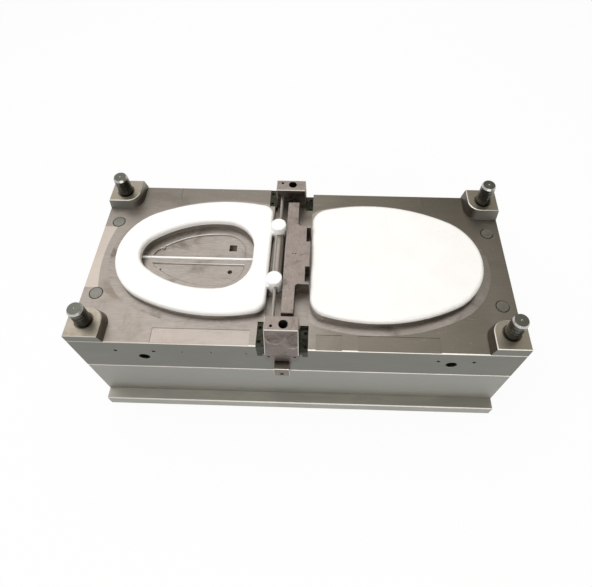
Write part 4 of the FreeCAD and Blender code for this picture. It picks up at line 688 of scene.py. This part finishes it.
def highlight_rims_round_angle_holes():
    """A thin rim round each slide's inclined hole, on the ellipse in which it meets the flat top,
    bright with the slide steel's painted highlight.
    """
    for side in ("front", "back"):
        mount = MOUNTS[f"angle_pin_hole_{side}"]
        lean = Vector(mount["axis"])
        middle = Vector(mount["pos_m"])
        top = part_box(f"slide_{side}")[1].z
        spot = middle + lean * ((top - middle.z) / lean.z)
        tree, sizes = new_tree(f"angle_hole_rim_{side}", {
            "Radius": mount["dims"]["r_mm"] / 1000 + RIM_GAP, "Rim": RIM_RADIUS})
        circle = add_node(tree, "GeometryNodeCurvePrimitiveCircle", {
            "Resolution": 48, "Radius": sizes.outputs["Radius"]})
        section = add_node(tree, "GeometryNodeCurvePrimitiveCircle", {
            "Resolution": 8, "Radius": sizes.outputs["Rim"]})
        ring = add_node(tree, "GeometryNodeCurveToMesh", {
            "Curve": circle.outputs[0], "Profile Curve": section.outputs[0]})
        ellipse = add_node(tree, "GeometryNodeTransform", {
            "Geometry": ring.outputs[0], "Translation": spot,
            "Scale": (1, 1 / abs(lean.z), RIM_FLATNESS)})
        end_tree(tree, ellipse.outputs[0], SLIDE)
        to_mesh(f"angle_hole_rim_{side}", tree, f"{side}_slide")


# Studio


# The camera, from the photo's perspective: lens and sensor in mm, angles in degrees, place in m
SENSOR_WIDTH = 36.0
LENS = 29.54
SHIFT = (-0.0271, -0.054)
PITCH, YAW = 55.46, -1.70
CAMERA_PLACE = (0.0506, -0.7196, 1.3862)

# The floor and the room
PAPER_GLOW = 0.93
FLOOR_HALF = 6.0
FLOOR_DROP = 0.0005
ROOM_LIGHT = 0.8


def make_camera():
    """The photo's camera."""
    data = bpy.data.cameras.new("camera")
    camera = bpy.data.objects.new("camera", data)
    bpy.context.scene.collection.objects.link(camera)
    data.sensor_width = SENSOR_WIDTH
    data.lens = LENS
    data.shift_x, data.shift_y = SHIFT
    pitch, yaw = math.radians(PITCH), math.radians(YAW)
    ahead = Vector((math.sin(yaw) * math.cos(pitch), math.cos(yaw) * math.cos(pitch), -math.sin(pitch)))
    camera.location = CAMERA_PLACE
    camera.rotation_mode = "QUATERNION"
    camera.rotation_quaternion = ahead.to_track_quat("-Z", "Y")
    data.clip_start, data.clip_end = 0.05, 60
    bpy.context.scene.camera = camera


def softbox(name, place, aim, size, power):
    light = bpy.data.lights.new(name, "AREA")
    light.shape = "RECTANGLE"
    light.size, light.size_y = size
    light.energy = power
    lamp = bpy.data.objects.new(name, light)
    bpy.context.scene.collection.objects.link(lamp)
    lamp.location = place
    lamp.rotation_mode = "QUATERNION"
    lamp.rotation_quaternion = (Vector(aim) - Vector(place)).to_track_quat("-Z", "Y")


def make_studio():
    """Soft overhead light, with the brighter wall at the back left, on a white floor."""
    scene = bpy.context.scene
    scene.view_settings.view_transform = "Standard"
    world = bpy.data.worlds.new("studio")
    scene.world = world
    world.use_nodes = True
    tree = world.node_tree
    tree.nodes.clear()
    path = add_node(tree, "ShaderNodeLightPath")
    place = add_node(tree, "ShaderNodeTexCoord")
    parts = add_node(tree, "ShaderNodeSeparateXYZ", {0: place.outputs["Generated"]})
    room = remap(tree, parts.outputs[0], -0.45, 0.4, 1.0, 0.0)
    wall = blend(tree, room, colour("#96907F"), colour("#F4EDE8"))
    soft = add_node(tree, "ShaderNodeBackground", {"Color": wall, "Strength": ROOM_LIGHT})
    white = add_node(tree, "ShaderNodeBackground", {"Color": colour("#FFFFFF"), "Strength": 1.0})
    mix = add_node(tree, "ShaderNodeMixShader", {
        0: path.outputs["Is Camera Ray"], 1: soft.outputs[0], 2: white.outputs[0]})
    add_node(tree, "ShaderNodeOutputWorld", {"Surface": mix.outputs[0]})
    softbox("overhead_softbox", (-0.6, 0.6, 2.8), (0, 0, 0.3), (4.4, 3.2), 62)
    softbox("front_softbox", (0.6, -2.6, 1.5), (0, 0, 0.2), (3.0, 2.0), 30)
    mesh = bpy.data.meshes.new("studio_floor")
    corners = [(-FLOOR_HALF, -FLOOR_HALF, 0), (FLOOR_HALF, -FLOOR_HALF, 0),
               (FLOOR_HALF, FLOOR_HALF, 0), (-FLOOR_HALF, FLOOR_HALF, 0)]
    mesh.from_pydata(corners, [], [(0, 1, 2, 3)])
    floor = bpy.data.objects.new("studio_floor", mesh)
    mesh.materials.append(floor_paper())
    scene.collection.objects.link(floor)
    floor.location.z = -FLOOR_DROP


make_camera()
make_studio()
finish_nodes()
grind_edges()
spring_coils()
lifting_threads()
highlight_rims_round_angle_holes()
